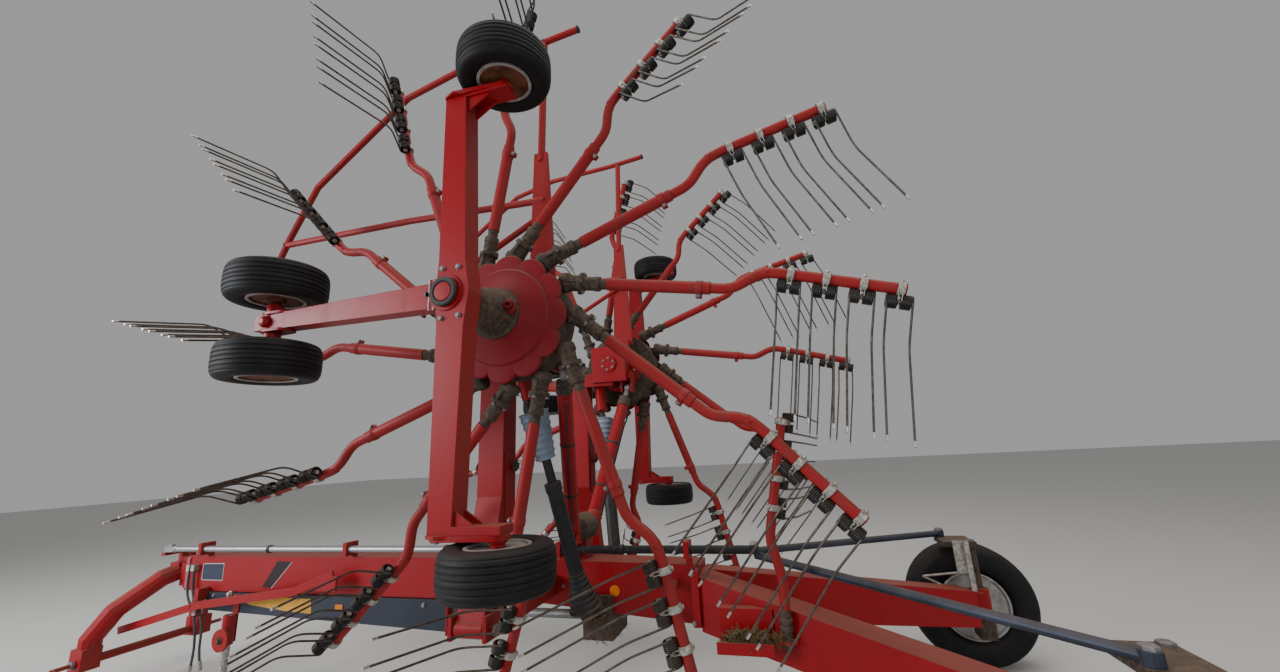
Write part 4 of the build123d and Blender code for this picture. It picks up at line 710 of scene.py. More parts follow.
# %% Spare arm
SPARE_Y = 0.402
SPARE_ROOT = spot(-1.141, SPARE_Y, 0.590)
SPARE_PLACES = ((-1.143, 0.735), (-1.148, 0.870), (-1.106, 1.045), (-1.226, 1.615))
FINGERS_POINT = np.array((-0.62, -0.78, 0.0))
ROOT_PROFILE = (
    (0.020, -0.020), (0.022, 0.000), (0.022, 0.060), (0.030, 0.062), (0.030, 0.078), (0.0255, 0.080),
    (0.0255, 0.092), (0.030, 0.094), (0.030, 0.110), (0.0255, 0.112), (0.0255, 0.150),
)
spare_line = rounded([spot(x, SPARE_Y, z) for x, z in SPARE_PLACES], ARM_BEND_REACH, 7)[None]
spare_axis = unit(spare_line[:, -1] - spare_line[:, -4])
spare_drop = unit(FINGERS_POINT - spare_axis * (FINGERS_POINT * spare_axis).sum())
spare_back = np.cross(spare_axis, spare_drop)
spare_run = unit(spare_drop + spare_back * math.sin(SPLAY))
spare_low = unit(spare_drop * math.cos(BEND) + spare_back * math.sin(BEND))
spare_middles = [spare_line[:, -1] - spare_axis * (TIP[0] - station) for station in CLAMP_STATIONS]
spare_tines = tines_at(spare_middles, spare_axis, spare_drop, spare_back, spare_run, spare_low)
for (kind, finish, smooth_below), skins in zip(TINE_KINDS, spare_tines):
    add_piece("spare_" + kind, skins, "frame", finish, smooth_below)
add_piece("spare_arm", [tube(spare_line, THIN_RADIUS, OUTWARD, 16)], "frame", arm_red)
add_piece("spare_root", [turned(ROOT_PROFILE, SPARE_ROOT, UP, 20)], "frame", casting)
holder = slab(SPARE_ROOT + (0, -0.012, 0.016), FORWARD * 0.040, OUTWARD * 0.044, UP * 0.005)
add_piece("spare_holder", [holder], "frame", frame_red, 25.0)

# %% [markdown]
# ## Cam drum, scalloped cover and castings
# The cover is a dished plate whose rim swells out between the arms. Its outline could be drawn with twelve arcs, but
# one cosine does it: the radius is r + h |cos(6a)|^p, with twelve lobes and a sharp notch between them. A power p
# below one makes the lobes broad and the notches narrow, and h is nought from the dish inwards.
# The dish is a slope that rises towards the nose, with the low steps that a pressed plate has.

# %% Rotor cover and nose
COVER_RIM_Y, COVER_STEPS, LOBE_POWER = 0.968, 240, 0.55
COVER_ROWS = (
    # radius, rise over the rim, depth of the lobes
    (0.284, -0.010, 0.036), (0.284, 0.000, 0.036), (0.280, 0.006, 0.034), (0.266, 0.013, 0.018),
    (0.254, 0.017, 0.005), (0.242, 0.021, 0.0), (0.232, 0.034, 0.0), (0.178, 0.052, 0.0),
    (0.166, 0.062, 0.0), (0.120, 0.078, 0.0), (0.096, 0.100, 0.0),
)
cover_angle = all_round(COVER_STEPS)
lobe = np.abs(np.cos(ARM_COUNT / 2 * (cover_angle - FIRST_ARM))) ** LOBE_POWER
cover_rows = []
for radius, rise, depth in COVER_ROWS:
    reach = radius + depth * lobe
    across, up = AXIS_X - reach * np.cos(cover_angle), AXIS_Z + reach * np.sin(cover_angle)
    cover_rows.append(np.stack([across, np.full(COVER_STEPS, COVER_RIM_Y + rise), up], -1))
cover = skin(np.stack(cover_rows)[:, ::-1])
add_pair("rotor_cover", [cover], "rotor", hub_red, 30.0, replaces="rotor_hub")
drum_axis = np.array((AXIS_X, 0.0, AXIS_Z))
DRUM = ((0.10, 0.790), (0.285, 0.790), (0.290, 0.796), (0.290, 0.955), (0.284, 0.962), (0.10, 0.962))
NOSE = (
    (0.118, 1.040), (0.124, 1.052), (0.124, 1.064), (0.112, 1.074), (0.106, 1.110), (0.098, 1.150),
    (0.086, 1.185), (0.070, 1.212), (0.052, 1.226), (0.040, 1.230),
)
drum_skins = [turned(DRUM, drum_axis, OUTWARD, 96), turned(NOSE, drum_axis, OUTWARD, 48)]
nose_bolts = ring_of_bolts(drum_axis + OUTWARD * 1.052, OUTWARD, 0.112, 8, 0.008)
pin_face = unit((-0.42, 0.90, -0.06))
pin_base = drum_axis + (-0.104, 1.112, 0.004)
pin_profile = (
    (0.036, -0.030), (0.036, 0.004), (0.030, 0.010), (0.018, 0.012), (0.018, 0.046), (0.014, 0.050),
    (0.009, 0.050), (0.007, 0.030),
)
pin_ring = ((0.021, -0.0035), (0.027, -0.002), (0.027, 0.004), (0.021, 0.005))
nose_pin = [turned(pin_profile, pin_base, pin_face, 24)]
nose_pin.append(turned(pin_ring, pin_base + pin_face * 0.018, pin_face, 28, ring=True))
add_pair("nose_pin", nose_pin, "rotor", hub_red)
add_pair("nose_bolts", nose_bolts, "rotor", grey_steel, 25.0)

# %% Arm bearings
CAST_PROFILE = (
    (0.046, 0.000), (0.050, 0.012), (0.050, 0.034), (0.044, 0.040), (0.040, 0.060), (0.038, 0.092), (0.047, 0.096),
    (0.047, 0.112), (0.034, 0.118), (0.033, 0.170), (0.036, 0.174), (0.036, 0.198), (0.032, 0.202),
)
BEARING_BASE = (0.262, 0.176)
LUGS_ALONG, RIB_ALONG, RIB_OUT = 0.104, 0.066, 0.034
base = on_arms(BEARING_BASE)
bearing_axis = unit(on_arms(ROOT_END) - on_arms(ROOT))
cast_skins = [turned(CAST_PROFILE, base, bearing_axis, 18)]
flange_side = np.cross(bearing_axis, OUTWARD)
cast_bolts = []
for out_share, side_share in ((0.040, 0.0), (0.0, 0.042), (0.0, -0.042)):
    lug = base + bearing_axis * LUGS_ALONG + OUTWARD * out_share + flange_side * side_share
    cast_skins.append(turned(((0.013, -0.010), (0.013, 0.010)), lug, bearing_axis, 10))
    cast_bolts += bolt(lug + bearing_axis * 0.010, bearing_axis, 0.009, 0.009)
rib = base + bearing_axis * RIB_ALONG + OUTWARD * RIB_OUT
cast_skins.append(slab(rib, bearing_axis * 0.030, OUTWARD * 0.014, flange_side * 0.005))
add_pair("arm_bearings", cast_skins, "rotor", casting, replaces="tine_arm_bearings")
add_pair("bearing_bolts", cast_bolts, "rotor", grey_steel, 25.0)
add_pair("cam_drum", drum_skins, "rotor", casting)

# %% [markdown]
# ## Wheel brackets and bolts of the chassis
# The tall beam and the forward beam carry three wheel posts. Each post stands in a bracket of thick plate with a
# rounded end. A plate is an outline moved half its thickness each way, and the rounded end is half a circle, so one
# function for plates and one for links make every bracket, ear and cover here.

# %% Plates and links
CHASSIS_Y, HUB_Z = 1.350, 2.150


def plate(outline, normal, thickness):
    """A flat plate: its outline, turned anticlockwise about the normal, half a thickness each way."""
    outline, normal = np.asarray(outline, float), unit(normal)
    if np.cross(outline, np.roll(outline, -1, axis=0)).sum(0) @ normal < 0:
        outline = outline[::-1]
    return skin(np.stack([outline - normal * thickness / 2, outline + normal * thickness / 2]))


def link(start, end, start_radius, end_radius, normal, thickness, steps=10):
    """A plate between two round ends: half a circle about each end, joined by straight sides."""
    ahead = unit(end - start)
    side = np.cross(normal, ahead)
    angle = np.linspace(-math.pi / 2, math.pi / 2, steps)[:, None]
    far = end + end_radius * (np.cos(angle) * ahead + np.sin(angle) * side)
    near = start - start_radius * (np.cos(angle) * ahead + np.sin(angle) * side)
    return plate(np.concatenate([far, near]), normal, thickness)


print("plates and links can be made")

# %% Brackets of the upper and lower wheel
WHEEL_X, FORWARD_WHEEL_X = -0.215, 0.975
BRACKET_HEAD, BRACKET_FOOT, FORK_RISE = 0.058, 0.044, 0.041
bracket_skins, bracket_bolts = [], []
for way, face_z, tyre_z in ((1, 3.064, 3.180), (-1, 1.232, 1.120)):
    head = spot(0.0, CHASSIS_Y, face_z)
    foot = spot(WHEEL_X, CHASSIS_Y, face_z)
    lift = UP * way
    bracket_skins.append(link(head + lift * 0.011, foot + lift * 0.011, BRACKET_HEAD, BRACKET_FOOT, UP, 0.020))
    bracket_skins.append(turned(((0.072, 0.0), (0.072, 0.010), (0.066, 0.014)), head - lift * 0.002, lift, 8))
    for x, side_y in ((0.012, 0.038), (0.012, -0.038), (0.040, 0.022), (0.040, -0.022)):
        bracket_bolts += bolt(head + lift * 0.021 + (x, side_y, 0), lift, 0.009, 0.007)
    for side in (-1, 1):
        corner = head + REARWARD * BRACKET_HEAD
        gusset = [corner, foot + FORWARD * 0.030, corner - lift * 0.080]
        bracket_skins.append(plate(np.array(gusset) + (0, 0.030 * side, 0), OUTWARD, 0.008))
    reach = abs(tyre_z - face_z) - 0.0525
    post_profile = ((0.034, 0.0), (0.034, 0.028), (0.027, 0.034), (0.0255, reach - 0.003), (0.024, reach))
    bracket_skins.append(turned(post_profile, foot, lift, 20))

# %% Forward bracket and the boss
end = spot(FORWARD_WHEEL_X, CHASSIS_Y, HUB_Z)
for way in (-1, 1):
    start = spot(0.900, CHASSIS_Y, HUB_Z) + UP * way * FORK_RISE
    bracket_skins.append(link(start, end + UP * way * FORK_RISE, 0.042, 0.046, UP, 0.012))
fork_profile = (
    (0.030, -0.088), (0.034, -0.080), (0.034, -0.052), (0.042, -0.046), (0.042, 0.046), (0.034, 0.052),
    (0.034, 0.080), (0.030, 0.088),
)
bracket_skins.append(turned(fork_profile, end, UP, 24))
bracket_bolts += ring_of_bolts(spot(0.092, CHASSIS_Y, HUB_Z), FORWARD, 0.055, 4, 0.009, 0.6)
hub_end = spot(0.010, 1.412, HUB_Z)
black_ring = ((0.057, -0.010), (0.062, -0.004), (0.062, 0.004), (0.057, 0.009), (0.044, 0.009), (0.041, 0.003))
red_disc = ((0.041, 0.000), (0.038, 0.007), (0.012, 0.008))
ring_skins = [turned(black_ring, hub_end, OUTWARD, 40)]
bracket_skins.append(turned(red_disc, hub_end, OUTWARD, 32))
for x, z in ((-0.045, 2.252), (0.030, 2.255), (-0.052, 2.048), (0.028, 2.044)):
    bracket_bolts += bolt(spot(x, 1.395, z), OUTWARD, 0.010, 0.009)
# painted highlight: two thin pale strips where the flange's edges catch the light beside the boss ring
flange_half = (FORWARD * 0.0028, UP * 0.0655, OUTWARD * 0.0022)
flange_highlight_skins = [slab(spot(x, 1.3965, HUB_Z), *flange_half) for x in (0.0655, 0.0885)]
add_pair("flange_edges", flange_highlight_skins, "fold_arm", plate_pale, 25.0)
add_pair("wheel_brackets", bracket_skins, "fold_arm", frame_red, 30.0)
add_pair("bracket_bolts", bracket_bolts, "fold_arm", grey_steel, 25.0)
add_pair("boss_ring", ring_skins, "fold_arm", black_plastic)

# %% [markdown]
# ## Drive shafts and their guards
# A shaft from the centre gearbox drives each rotor. It is two tubes, one in the other, with a cone guard over the
# joint at its foot and a soft bellows over the one at its head. Both covers are turned pieces whose radius swells and
# shrinks by a cosine as it goes along, so one function gives the two outlines.

# %% Bellows, cone guard and shaft tubes
FOLDS = 7


def folded(radius, swell, power, depth, low, length, steps):
    """A folded cover's outline: its radius is radius + swell t^power + depth cos(2 pi n t), for t from 0 to 1."""
    t = np.linspace(0, 1, steps)
    return np.c_[radius + swell * t**power + depth * np.cos(t * FOLDS * 2 * math.pi), low + length * t]


shaft_foot = spot(-0.095, 0.262, 0.640)
shaft_head = spot(0.085, 0.555, 1.775)
shaft_line = unit(shaft_head - shaft_foot)
bellows = folded(0.051, 0.030, 0.8, 0.0032, 0.875, 0.262, 73)
bellows = np.concatenate([[(0.030, 0.872)], bellows, [(0.060, 1.140), (0.030, 1.142)]])
inner_profile = (
    (0.0247, 0.262), (0.0247, 0.872), (0.034, 0.8725), (0.034, 0.874), (0.0255, 0.875), (0.0255, 1.184),
    (0.012, 1.208),
)
guard = folded(0.088, -0.044, 0.7, 0.0025, 0.043, 0.190, 41)
guard_tube = (
    (0.041, 0.236), (0.041, 0.690), (0.046, 0.692), (0.046, 0.738), (0.040, 0.741), (0.0265, 0.741), (0.0265, 0.240),
)
outer_profile = np.concatenate([[(0.078, 0.050), (0.082, 0.044)], guard, guard_tube])
for name, profile, sides, body, finish, replaces in (
    ("shaft_guard", outer_profile, 32, "shaft_outer", black_plastic, "drive_shaft_outer"),
    ("shaft_core", inner_profile, 24, "shaft_inner", black_plastic, "drive_shaft_inner"),
    ("bellows", bellows, 40, "shaft_inner", bellows_grey, None),
):
    add_pair(name, [turned(profile, shaft_foot, shaft_line, sides)], body, finish, replaces=replaces)

# %% [markdown]
# ## Fold cylinders
# The barrel's closed end carries its eye, and its open end a gland nut, where the bright rod comes out. A steel pipe
# runs along the barrel from the port near the rod to the foot.

# %% Gland nuts, ports and pipes of the cylinders
ram_foot, ram_head = spot(0.040, 0.130, 1.010), spot(-0.120, 0.580, 1.965)
ram_line = unit(ram_head - ram_foot)
ROD_SHOWS, LOW_PORT, PORT_BEFORE_GLAND, PIPE_RADIUS = 0.090, 0.100, 0.105, 0.0055
gland = float(np.linalg.norm(ram_head - ram_foot)) - ROD_SHOWS
gland_profile = np.array((
    (0.0422, -0.070), (0.0465, -0.068), (0.0465, -0.030), (0.0435, -0.028), (0.0435, 0.004), (0.036, 0.008),
    (0.0208, 0.008), (0.0208, -0.070),
)) + (0, gland)
base_profile = ((0.0422, 0.125), (0.0450, 0.121), (0.0450, 0.054), (0.040, 0.0475), (0.024, 0.047))
port_side = unit(np.cross(ram_line, FORWARD)) * 0.9 + REARWARD * 0.45
port_side = unit(port_side - ram_line * (port_side @ ram_line))
gland_skins = [turned(gland_profile, ram_foot, ram_line, 32, ring=True)]
ram_skins = [turned(base_profile[::-1], ram_foot, ram_line, 32)]
port_profile = ((0.013, 0.036), (0.013, 0.056), (0.010, 0.060), (0.010, 0.066))
low_port, high_port = (ram_foot + ram_line * distance for distance in (LOW_PORT, gland - PORT_BEFORE_GLAND))
ram_skins += [turned(port_profile, port, port_side, 14) for port in (low_port, high_port)]
pipe_line = rounded([
    high_port + port_side * 0.062, high_port + port_side * 0.072 - ram_line * 0.03,
    high_port + port_side * 0.060 - ram_line * 0.10, low_port + port_side * 0.060 + ram_line * 0.08,
    low_port + port_side * 0.064 + ram_line * 0.012,
], 0.02, 6)
pipe_skins = [tube(pipe_line, PIPE_RADIUS, np.cross(ram_line, port_side), 10)]
pipe_strap = ((0.0425, -0.008), (0.0445, -0.006), (0.0445, 0.006), (0.0425, 0.008))
pipe_skins += [turned(pipe_strap, ram_foot + ram_line * (gland * share), ram_line, 28) for share in (0.30, 0.62)]
add_pair("gland_nut", gland_skins, "ram_barrel", casting)
add_pair("cylinder_ends", ram_skins, "ram_barrel", frame_red)
add_pair("cylinder_pipe", pipe_skins, "ram_barrel", black_plastic)

# %% [markdown]
# ## Tyres and rims
# A tyre's cross-section is a superellipse, flat across the tread and round at the shoulders. Grooves are cut round
# the tread by a cosine, sharpened so that the ribs are wide and the grooves narrow. The grooves could be cut with
# booleans, but as part of the formula they follow every tyre's own size.

# %% Tyres
AROUND, TREAD_STEPS, INNER_STEPS = 84, 81, 24
SQUARENESS, RIBS, GROOVE_DEPTH, BEAD_PINCH = 3.4, 4, 0.0045, 0.16
CROWDING, GROOVE_START, GROOVE_SHARPNESS = 0.55, 0.60, 6


def tyre_grid(centre, axis, radius, half_width, rim_radius):
    """A tyre: points where |x/w|^n + |y/h|^n = 1, with grooves cut by a cosine, carried round the axle."""
    crowded = np.sin(np.linspace(-math.pi / 2, math.pi / 2, TREAD_STEPS) * 0.999)
    tread = crowded * CROWDING + np.linspace(-1, 1, TREAD_STEPS) * (1 - CROWDING)
    inner = np.cos(np.linspace(0.05, math.pi - 0.05, INNER_STEPS))
    rise = (1 - np.abs(tread) ** SQUARENESS).clip(0) ** (1 / SQUARENESS)
    fall = -((1 - np.abs(inner) ** SQUARENESS) ** (1 / SQUARENESS))
    across, height = np.concatenate([tread, inner]), np.concatenate([rise, fall])
    groove = np.clip((np.cos(across * 2 * math.pi * RIBS) - GROOVE_START) * GROOVE_SHARPNESS, 0, 1)
    groove = groove * np.clip(height * 8 - 6.4, 0, 1)
    pinch = 1 - BEAD_PINCH * np.clip(-height, 0, 1) ** 2
    reach = (radius + rim_radius) / 2 + (radius - rim_radius) / 2 * height - groove * GROOVE_DEPTH
    wide = across * half_width * pinch
    spoke = ring_round(unit(axis), (-0.3, -1.0, -0.2), AROUND)[:, None]
    return (np.asarray(centre) + spoke * reach[None, :, None] + wide[None, :, None] * unit(axis))[:, ::-1]


print("a tyre is", AROUND, "by", TREAD_STEPS + INNER_STEPS, "points")


# %% Rims, lips and studs
def rim_profile(radius, half_width, dish, hub):
    """The rim's half outline from its outer lip over the well to the disc and its hub."""
    lip = radius + 0.008
    return (
        (lip, half_width * 0.80), (lip, half_width * 0.88), (radius - 0.006, half_width * 0.84),
        (radius - 0.014, half_width * 0.40), (radius * 0.93, dish + 0.02), (radius * 0.90, dish + 0.004),
        (radius * 0.62, dish + 0.014), (radius * 0.36, dish + 0.010), (radius * 0.34, dish + hub - 0.004),
        (radius * 0.10, dish + hub),
    )


LIP = np.array(((-0.004, 0.80), (0.010, 0.80), (0.010, 0.90), (0.003, 0.93), (-0.004, 0.90)))
STUDS = 5


def wheel_pair(name, node, body, dish, hub, inward_way, finish, centres=None, axis=2, rim_share=0.527):
    """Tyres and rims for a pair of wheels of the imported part, from the node's own box."""
    low, high = np.array(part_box(node + "_left"))
    middle, size = (low + high) / 2, (high - low) / 2
    radius, rim_radius = size[0], size[0] * rim_share
    direction, side, over = (np.eye(3)[(axis + step) % 3] for step in range(3))
    tyres, rims, lips, bolts = [], [], [], []
    for place, half_width in centres or [(middle, size[axis])]:
        way = direction * inward_way(place)
        tyres.append(skin(tyre_grid(place, direction, radius, half_width, rim_radius), ring=True))
        for face in (1, -1):
            rims.append(turned(rim_profile(rim_radius, half_width, dish * face, hub), place, way * face, 48))
            lips.append(turned(LIP * (1, half_width) + (rim_radius, 0), place, way * face, 64, ring=True))
        for angle in all_round(STUDS):
            out = side * math.cos(angle) + over * math.sin(angle)
            bolts += bolt(place - way * (0.012 - dish) + out * rim_radius * 0.5, -way, 0.011, 0.012)
    add_pair(name + "_tyres", tyres, body, rubber, 50.0, replaces=node)
    add_pair(name + "_rims", rims, body, finish, 40.0)
    add_pair(name + "_lips", lips, body, rim_grey, 40.0)
    add_pair(name + "_studs", bolts, body, grey_steel, 25.0)


print("a rim has", STUDS, "studs")

# %% Four kinds of wheels
front_low, front_high = np.array(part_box("front_rotor_wheels_left"))
front_middle, tyre_half = (front_low + front_high) / 2, 0.082
front_rise = UP * ((front_high[2] - front_low[2]) / 2 - tyre_half)
front_places = [(front_middle + front_rise, tyre_half), (front_middle - front_rise, tyre_half)]
wheel_pair("upper", "upper_rotor_wheel", "upper_wheel", 0.015, 0.036, lambda place: -1, rim_rust)
wheel_pair("lower", "lower_rotor_wheel", "lower_wheel", 0.015, 0.036, lambda place: 1, rim_grey)
wheel_pair(
    "front", "front_rotor_wheels", "front_wheels", 0.050, 0.036,
    lambda place: np.sign(front_middle[2] - place[2]), rim_rust, front_places,
)
wheel_pair("road", "road_wheel", "road_wheel", 0.030, 0.060, lambda place: -1, rim_grey, axis=1, rim_share=0.526)

# %% [markdown]
# ## Blank plates, reflectors and bolts of the beam
# The beam's side carries thin plates and a few reflectors. They are left blank, but their colours and edges stay.
# Each is a flat outline in the beam's side, given by x and z and moved out by its thickness. The pale edge of a
# plate is the same outline, a little larger and a little thinner, behind it.

# %% Plates and reflectors
BEAM_SIDE_Y, PANEL_SIDE_Y = 0.100, 0.118
PLATES = (
    # name, side, thickness, finish, outline by x and z
    ("grey_plate", BEAM_SIDE_Y, 0.0016, plate_grey, ((3.070, 0.834), (2.868, 0.836), (2.866, 0.727), (3.070, 0.729))),
    ("dark_wedge", BEAM_SIDE_Y, 0.0012, plate_dark, ((2.347, 0.860), (2.216, 0.855), (2.384, 0.682), (2.469, 0.687))),
    ("wedge_edge", BEAM_SIDE_Y, 0.0016, plate_pale, ((2.216, 0.855), (2.210, 0.854), (2.378, 0.680), (2.384, 0.682))),
    (
        "yellow_plate", PANEL_SIDE_Y, 0.0016, plate_yellow,
        ((2.720, 0.634), (1.991, 0.626), (1.979, 0.534), (2.209, 0.545), (2.536, 0.574)),
    ),
    (
        "grey_plate_edge", BEAM_SIDE_Y, 0.0010, plate_pale,
        ((3.076, 0.840), (2.862, 0.842), (2.860, 0.721), (3.076, 0.723)),
    ),
    ("side_reflector", PANEL_SIDE_Y, 0.0060, amber, ((1.776, 0.598), (1.716, 0.598), (1.716, 0.558), (1.776, 0.558))),
)
for name, side_y, thickness, finish, outline in PLATES:
    corners = np.array([spot(x, side_y + thickness / 2, z) for x, z in outline])
    skins = [plate(corners, OUTWARD, thickness)]
    skins += mirrored(skins)
    add_piece(name, skins, "frame", finish, 25.0)
round_profile = ((0.030, 0.0), (0.030, 0.005), (0.024, 0.008))
reflector_place = spot(-0.200, BEAM_SIDE_Y, 0.720)
round_skins = [turned(round_profile, reflector_place, OUTWARD, 28)]
add_piece("round_reflectors", round_skins + mirrored(round_skins), "frame", amber)

# %% Rim and bolts of the beam
RIM_TOP, RIM_LOW, RIM_HALF, RIM_CORNER = 0.888, 0.653, 0.098, 0.022
cap_rows = []
for x, grow in ((3.228, -0.010), (3.231, 0.0), (3.249, 0.0), (3.252, -0.008)):
    top, low, side_y = RIM_TOP + grow, RIM_LOW - grow, RIM_HALF + grow
    corner_line = rounded([(0, 0, top), (0, side_y, top), (0, side_y, low), (0, 0, low)], RIM_CORNER, 6)
    other_side = (corner_line * (1, -1, 1))[::-1]
    cap_rows.append(np.concatenate([corner_line[:-1], other_side[:-1]]) + spot(x, 0, 0))
add_piece("beam_end_rim", [skin(np.stack(cap_rows)[:, ::-1])], "frame", pink_red, 30.0)
panel_bolts = bolt(spot(1.080, PANEL_SIDE_Y, 0.612), OUTWARD, 0.012, 0.010)
for x in (2.90, 2.50, 2.10, 1.45, 0.80):
    panel_bolts += bolt(spot(x, PANEL_SIDE_Y, 0.628), OUTWARD, 0.009, 0.008)
left_bolts = []
for x, y, z in ((-0.665, 0.176, 0.590), (-0.665, 0.176, 0.830), (0.120, BEAM_SIDE_Y, 0.740)):
    left_bolts += bolt(spot(x, y, z), OUTWARD, 0.010, 0.009)
add_piece("beam_bolts", panel_bolts + left_bolts + mirrored(panel_bolts), "frame", grey_steel, 25.0)
bright_bolt = bolt(spot(2.738, PANEL_SIDE_Y, 0.640), OUTWARD, 0.017, 0.020)
add_piece("bright_bolt", bright_bolt, "frame", worn_steel, 25.0)

# %% [markdown]
# ## Nuts, collars and caps
# Nuts, collars and caps are turned pieces. A table holds each one's place, axis and profile, so that most of the
# machine's small fittings take one loop. The stand, the steering rod and the headstock have a few more.

# %% Turned fittings
NUT = ((0.026, 0.0), (0.026, 0.012), (0.021, 0.015))
WASHER = ((0.030, 0.0), (0.030, 0.004), (0.018, 0.005), (0.018, 0.016), (0.012, 0.018))
SPHERE_CAP = ((0.027, 0.0), (0.027, 0.006), (0.022, 0.014), (0.012, 0.020))
LOCK_NUT = ((0.0265, 0.0), (0.0265, 0.018), (0.024, 0.020))
ROD_COLLAR = ((0.0225, -0.012), (0.0275, -0.010), (0.0275, 0.010), (0.0225, 0.012))
GREASE_CAP = ((0.040, 0.0), (0.040, 0.016), (0.034, 0.026), (0.016, 0.030))
FITTINGS = (
    # name, body, finish, sides, profile, axis, place
    ("column_washers", "fold_arm", casting, 18, WASHER, FORWARD, (0.376, 0.585, 1.450)),
    ("column_washers_rear", "fold_arm", casting, 18, WASHER, REARWARD, (0.164, 0.585, 1.450)),
    ("fold_pin_nuts", "frame", grey_steel, 6, NUT, REARWARD, (0.150, 0.780, 0.725)),
    ("wheel_post_caps", "fold_arm", frame_red, 20, SPHERE_CAP, OUTWARD, (FORWARD_WHEEL_X, 1.390, HUB_Z)),
    ("kingpin_caps", "knuckle", grey_steel, 6, NUT, UP, (-2.310, 0.870, 0.807)),
    ("axle_caps", "road_wheel", black_plastic, 24, GREASE_CAP, OUTWARD, (-2.310, 1.160, 0.380)),
    ("tie_nuts", "tie_rod", grey_steel, 6, NUT, UP, (-2.180, 1.040, 0.850)),
)
for name, body, finish, sides, profile, axis, place in FITTINGS:
    skins = [turned(profile, spot(*place), axis, sides)]
    if body == "frame":
        add_piece(name, skins + mirrored(skins), body, finish, 25.0)
    else:
        add_pair(name, skins, body, finish, 25.0)

# %% Stand, steering rod and headstock
stand_place = spot(2.660, 0.210, 0.370)
disc = turned(((0.026, 0.0), (0.026, 0.004), (0.012, 0.005)), stand_place, OUTWARD, 28)
add_piece("stand_disc_plate", [disc], "frame", casting)
add_piece("stand_bolts", bolt(stand_place + OUTWARD * 0.005, OUTWARD, 0.013, 0.012), "frame", casting, 25.0)

ROD_Y, ROD_Z, ROD_TOP_Z = 0.125, 0.945, 0.965
rod_skins = [turned(LOCK_NUT, spot(3.328, ROD_Y, ROD_Z), FORWARD, 6)]
rod_skins += [turned(NUT, spot(x, y, ROD_TOP_Z), UP, 6) for x, y in ((3.405, ROD_Y), (-1.005, 0.085))]
collar_line = [turned(ROD_COLLAR, spot(x, ROD_Y, ROD_Z), FORWARD, 24) for x in (2.400, 0.920, -0.260)]
add_piece("steering_nuts", rod_skins, "steering_rod", zinc, 25.0)
add_piece("steering_collars", collar_line, "steering_rod", black_plastic, 25.0)

LINK_COLLAR = ((0.024, -0.012), (0.026, 0.0), (0.026, 0.008), (0.0145, 0.010))
LINK_RING = ((0.0142, 0.086), (0.0155, 0.088), (0.0155, 0.094), (0.0142, 0.096))
pin_skins = []
for way in (1, -1):
    for profile, sides in ((LINK_COLLAR, 24), (LINK_RING, 20)):
        pin_skins.append(turned(profile, spot(3.720, 0.428 * way, 0.240), OUTWARD * way, sides))
add_piece("link_pin_collars", pin_skins, "headstock", grey_steel, 25.0)
head_bolts = ring_of_bolts(spot(3.491, 0.0, 0.770), FORWARD, 0.040, 4, 0.011, 0.8)
add_piece("headstock_bolts", head_bolts, "headstock", grey_steel, 25.0)

# %% [markdown]
# ## Gearbox ribs and bolts
# The rotor's gearbox is bolted together from castings. Ribs run out from its neck as thin plates, and a circle of
# bolts holds the lid.

# %% Ribs and bolts of the rotor gearbox
RIB_COUNT, RIB_START, RIB_END = 8, 0.112, 0.178
gear_skins, neck = [], spot(0, 0.641, HUB_Z)
for angle in all_round(RIB_COUNT) + math.pi / RIB_COUNT:
    out = np.array((math.cos(angle), 0.0, math.sin(angle)))
    inner, outer = neck + out * RIB_START, neck + out * RIB_END
    gear_skins.append(plate([inner - OUTWARD * 0.075, inner, outer], np.cross(out, OUTWARD), 0.009))
gear_bolts = ring_of_bolts(spot(0, 0.640, HUB_Z), -OUTWARD, 0.165, 12, 0.010, 0.1)
gear_bolts += ring_of_bolts(spot(0, 0.4825, HUB_Z), -OUTWARD, 0.045, 6, 0.008)
add_pair("gearbox_ribs", gear_skins, "fold_arm", frame_red, 25.0)
add_pair("gearbox_bolts", gear_bolts, "fold_arm", grey_steel, 25.0)
case_rim = ((0.188, -0.006), (0.197, -0.004), (0.197, 0.012), (0.188, 0.014))
add_pair("gearbox_rim", [turned(case_rim, spot(0, 0.740, HUB_Z), OUTWARD, 48)], "fold_arm", casting)

# %% [markdown]
# ## Guard end caps
# The guard's tubes end in round black plugs. Each is a turned piece at a tube's end, pointing the way the tube does.

# %% Plugs
plug_profile = ((0.0205, -0.006), (0.0225, -0.004), (0.0225, 0.004), (0.012, 0.010))
plug_places = (
    ((-0.310, 0.700, 3.995), (-0.290, 0, 0.030)), ((1.890, 0.700, 2.820), (0.080, 0, -0.170)),
    ((-0.085, 0.700, 3.970), (-0.025, 0, 0.820)), ((1.830, 0.700, 2.955), (0.990, 0, 0.010)),
)
plugs = [turned(plug_profile, spot(*place), way, 16) for place, way in plug_places]
add_pair("guard_plugs", plugs, "fold_arm", black_plastic)

# %% [markdown]
# ## Lamp struts and the tower's drum
# Two thin rods hold the lamp bracket out from the right fork arm, and a greasy drum sits across the top of the centre
# tower. Both are the plain shapes from above: a rod is a tube, and the drum is turned, with a low band at each end.

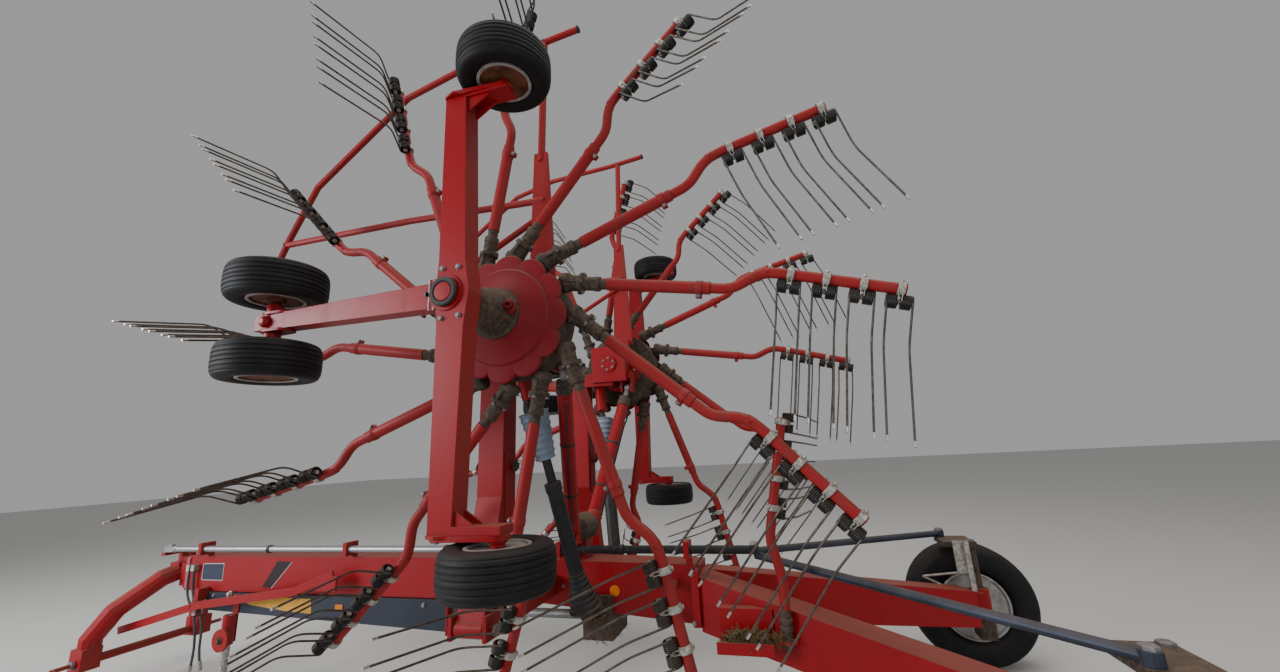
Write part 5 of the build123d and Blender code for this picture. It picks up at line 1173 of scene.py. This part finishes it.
# %% Struts and drum
strut_head = spot(-1.985, -0.795, 0.612)
strut_lines = ([spot(-2.215, -0.765, 0.645), strut_head], [strut_head, spot(-2.170, -0.815, 0.515)])
add_piece("lamp_struts", [tube(line, 0.007, (0.3, 0.9, 0.2), 10) for line in strut_lines], "frame", zinc)
half_drum = np.array(((0.0815, 0.048), (0.0825, 0.050), (0.0825, 0.083), (0.076, 0.0885), (0.020, 0.0885)))
drum_cover = np.concatenate([(half_drum * (1, -1))[::-1], half_drum])
add_piece("tower_drum", [turned(drum_cover, spot(0.045, 0.0, 1.050), OUTWARD, 48)], "frame", casting)

# %% [markdown]
# ## Hay in the tray and on the machine
# Dry stalks lie in the tray and hang about the joints, as they do after work. A stalk is a thin three-sided tube
# along a parabola, m + h t w + b t^2, where w is its direction and b its sag. Hundreds of them share two meshes.

# %% Stalks
STALK_RADIUS, SHORTEST, SAG_SHARES = 0.0016, 0.35, (0.05, 0.35)


def stalks(place, reach, count, length, seed, flatness):
    """Stalks about a place: each line is middle + t half way + t^2 sag, for t from -1 to 1."""
    dice = np.random.default_rng(seed)
    middle = spot(*place) + dice.uniform(-1, 1, (count, 3)) * reach
    way = unit(dice.normal(size=(count, 3)) * (1.0, 1.0, flatness))
    half = length * dice.uniform(SHORTEST, 1.0, (count, 1)) / 2
    sag = unit(np.cross(way, dice.normal(size=(count, 3)))) * half * dice.uniform(*SAG_SHARES, (count, 1))
    t = np.linspace(-1, 1, 5)[:, None]
    line = middle[:, None] + t * (way * half)[:, None] + t**2 * sag[:, None]
    hint = np.cross(way, sag)[:, None]
    return tube(line, STALK_RADIUS, hint, 3)


HAY = (
    # name, then for each clump: place, reach, count, length, seed, flatness
    ("tray_hay", (
        ((-0.950, 0.405, 0.594), (0.100, 0.042, 0.014), 520, 0.090, 5, 0.25),
        ((-0.960, 0.400, 0.622), (0.085, 0.032, 0.014), 300, 0.090, 6, 0.45),
        ((-1.110, 0.412, 0.615), (0.028, 0.012, 0.016), 110, 0.080, 11, 0.70),
    )),
    ("gearbox_hay", (
        ((-0.100, 0.0, 0.465), (0.070, 0.110, 0.004), 90, 0.110, 7, 0.3),
        ((-0.100, 0.165, 0.598), (0.040, 0.030, 0.006), 120, 0.100, 8, 0.5),
    )),
)
for name, clumps in HAY:
    add_piece(name, [stalks(*clump) for clump in clumps], "frame", hay)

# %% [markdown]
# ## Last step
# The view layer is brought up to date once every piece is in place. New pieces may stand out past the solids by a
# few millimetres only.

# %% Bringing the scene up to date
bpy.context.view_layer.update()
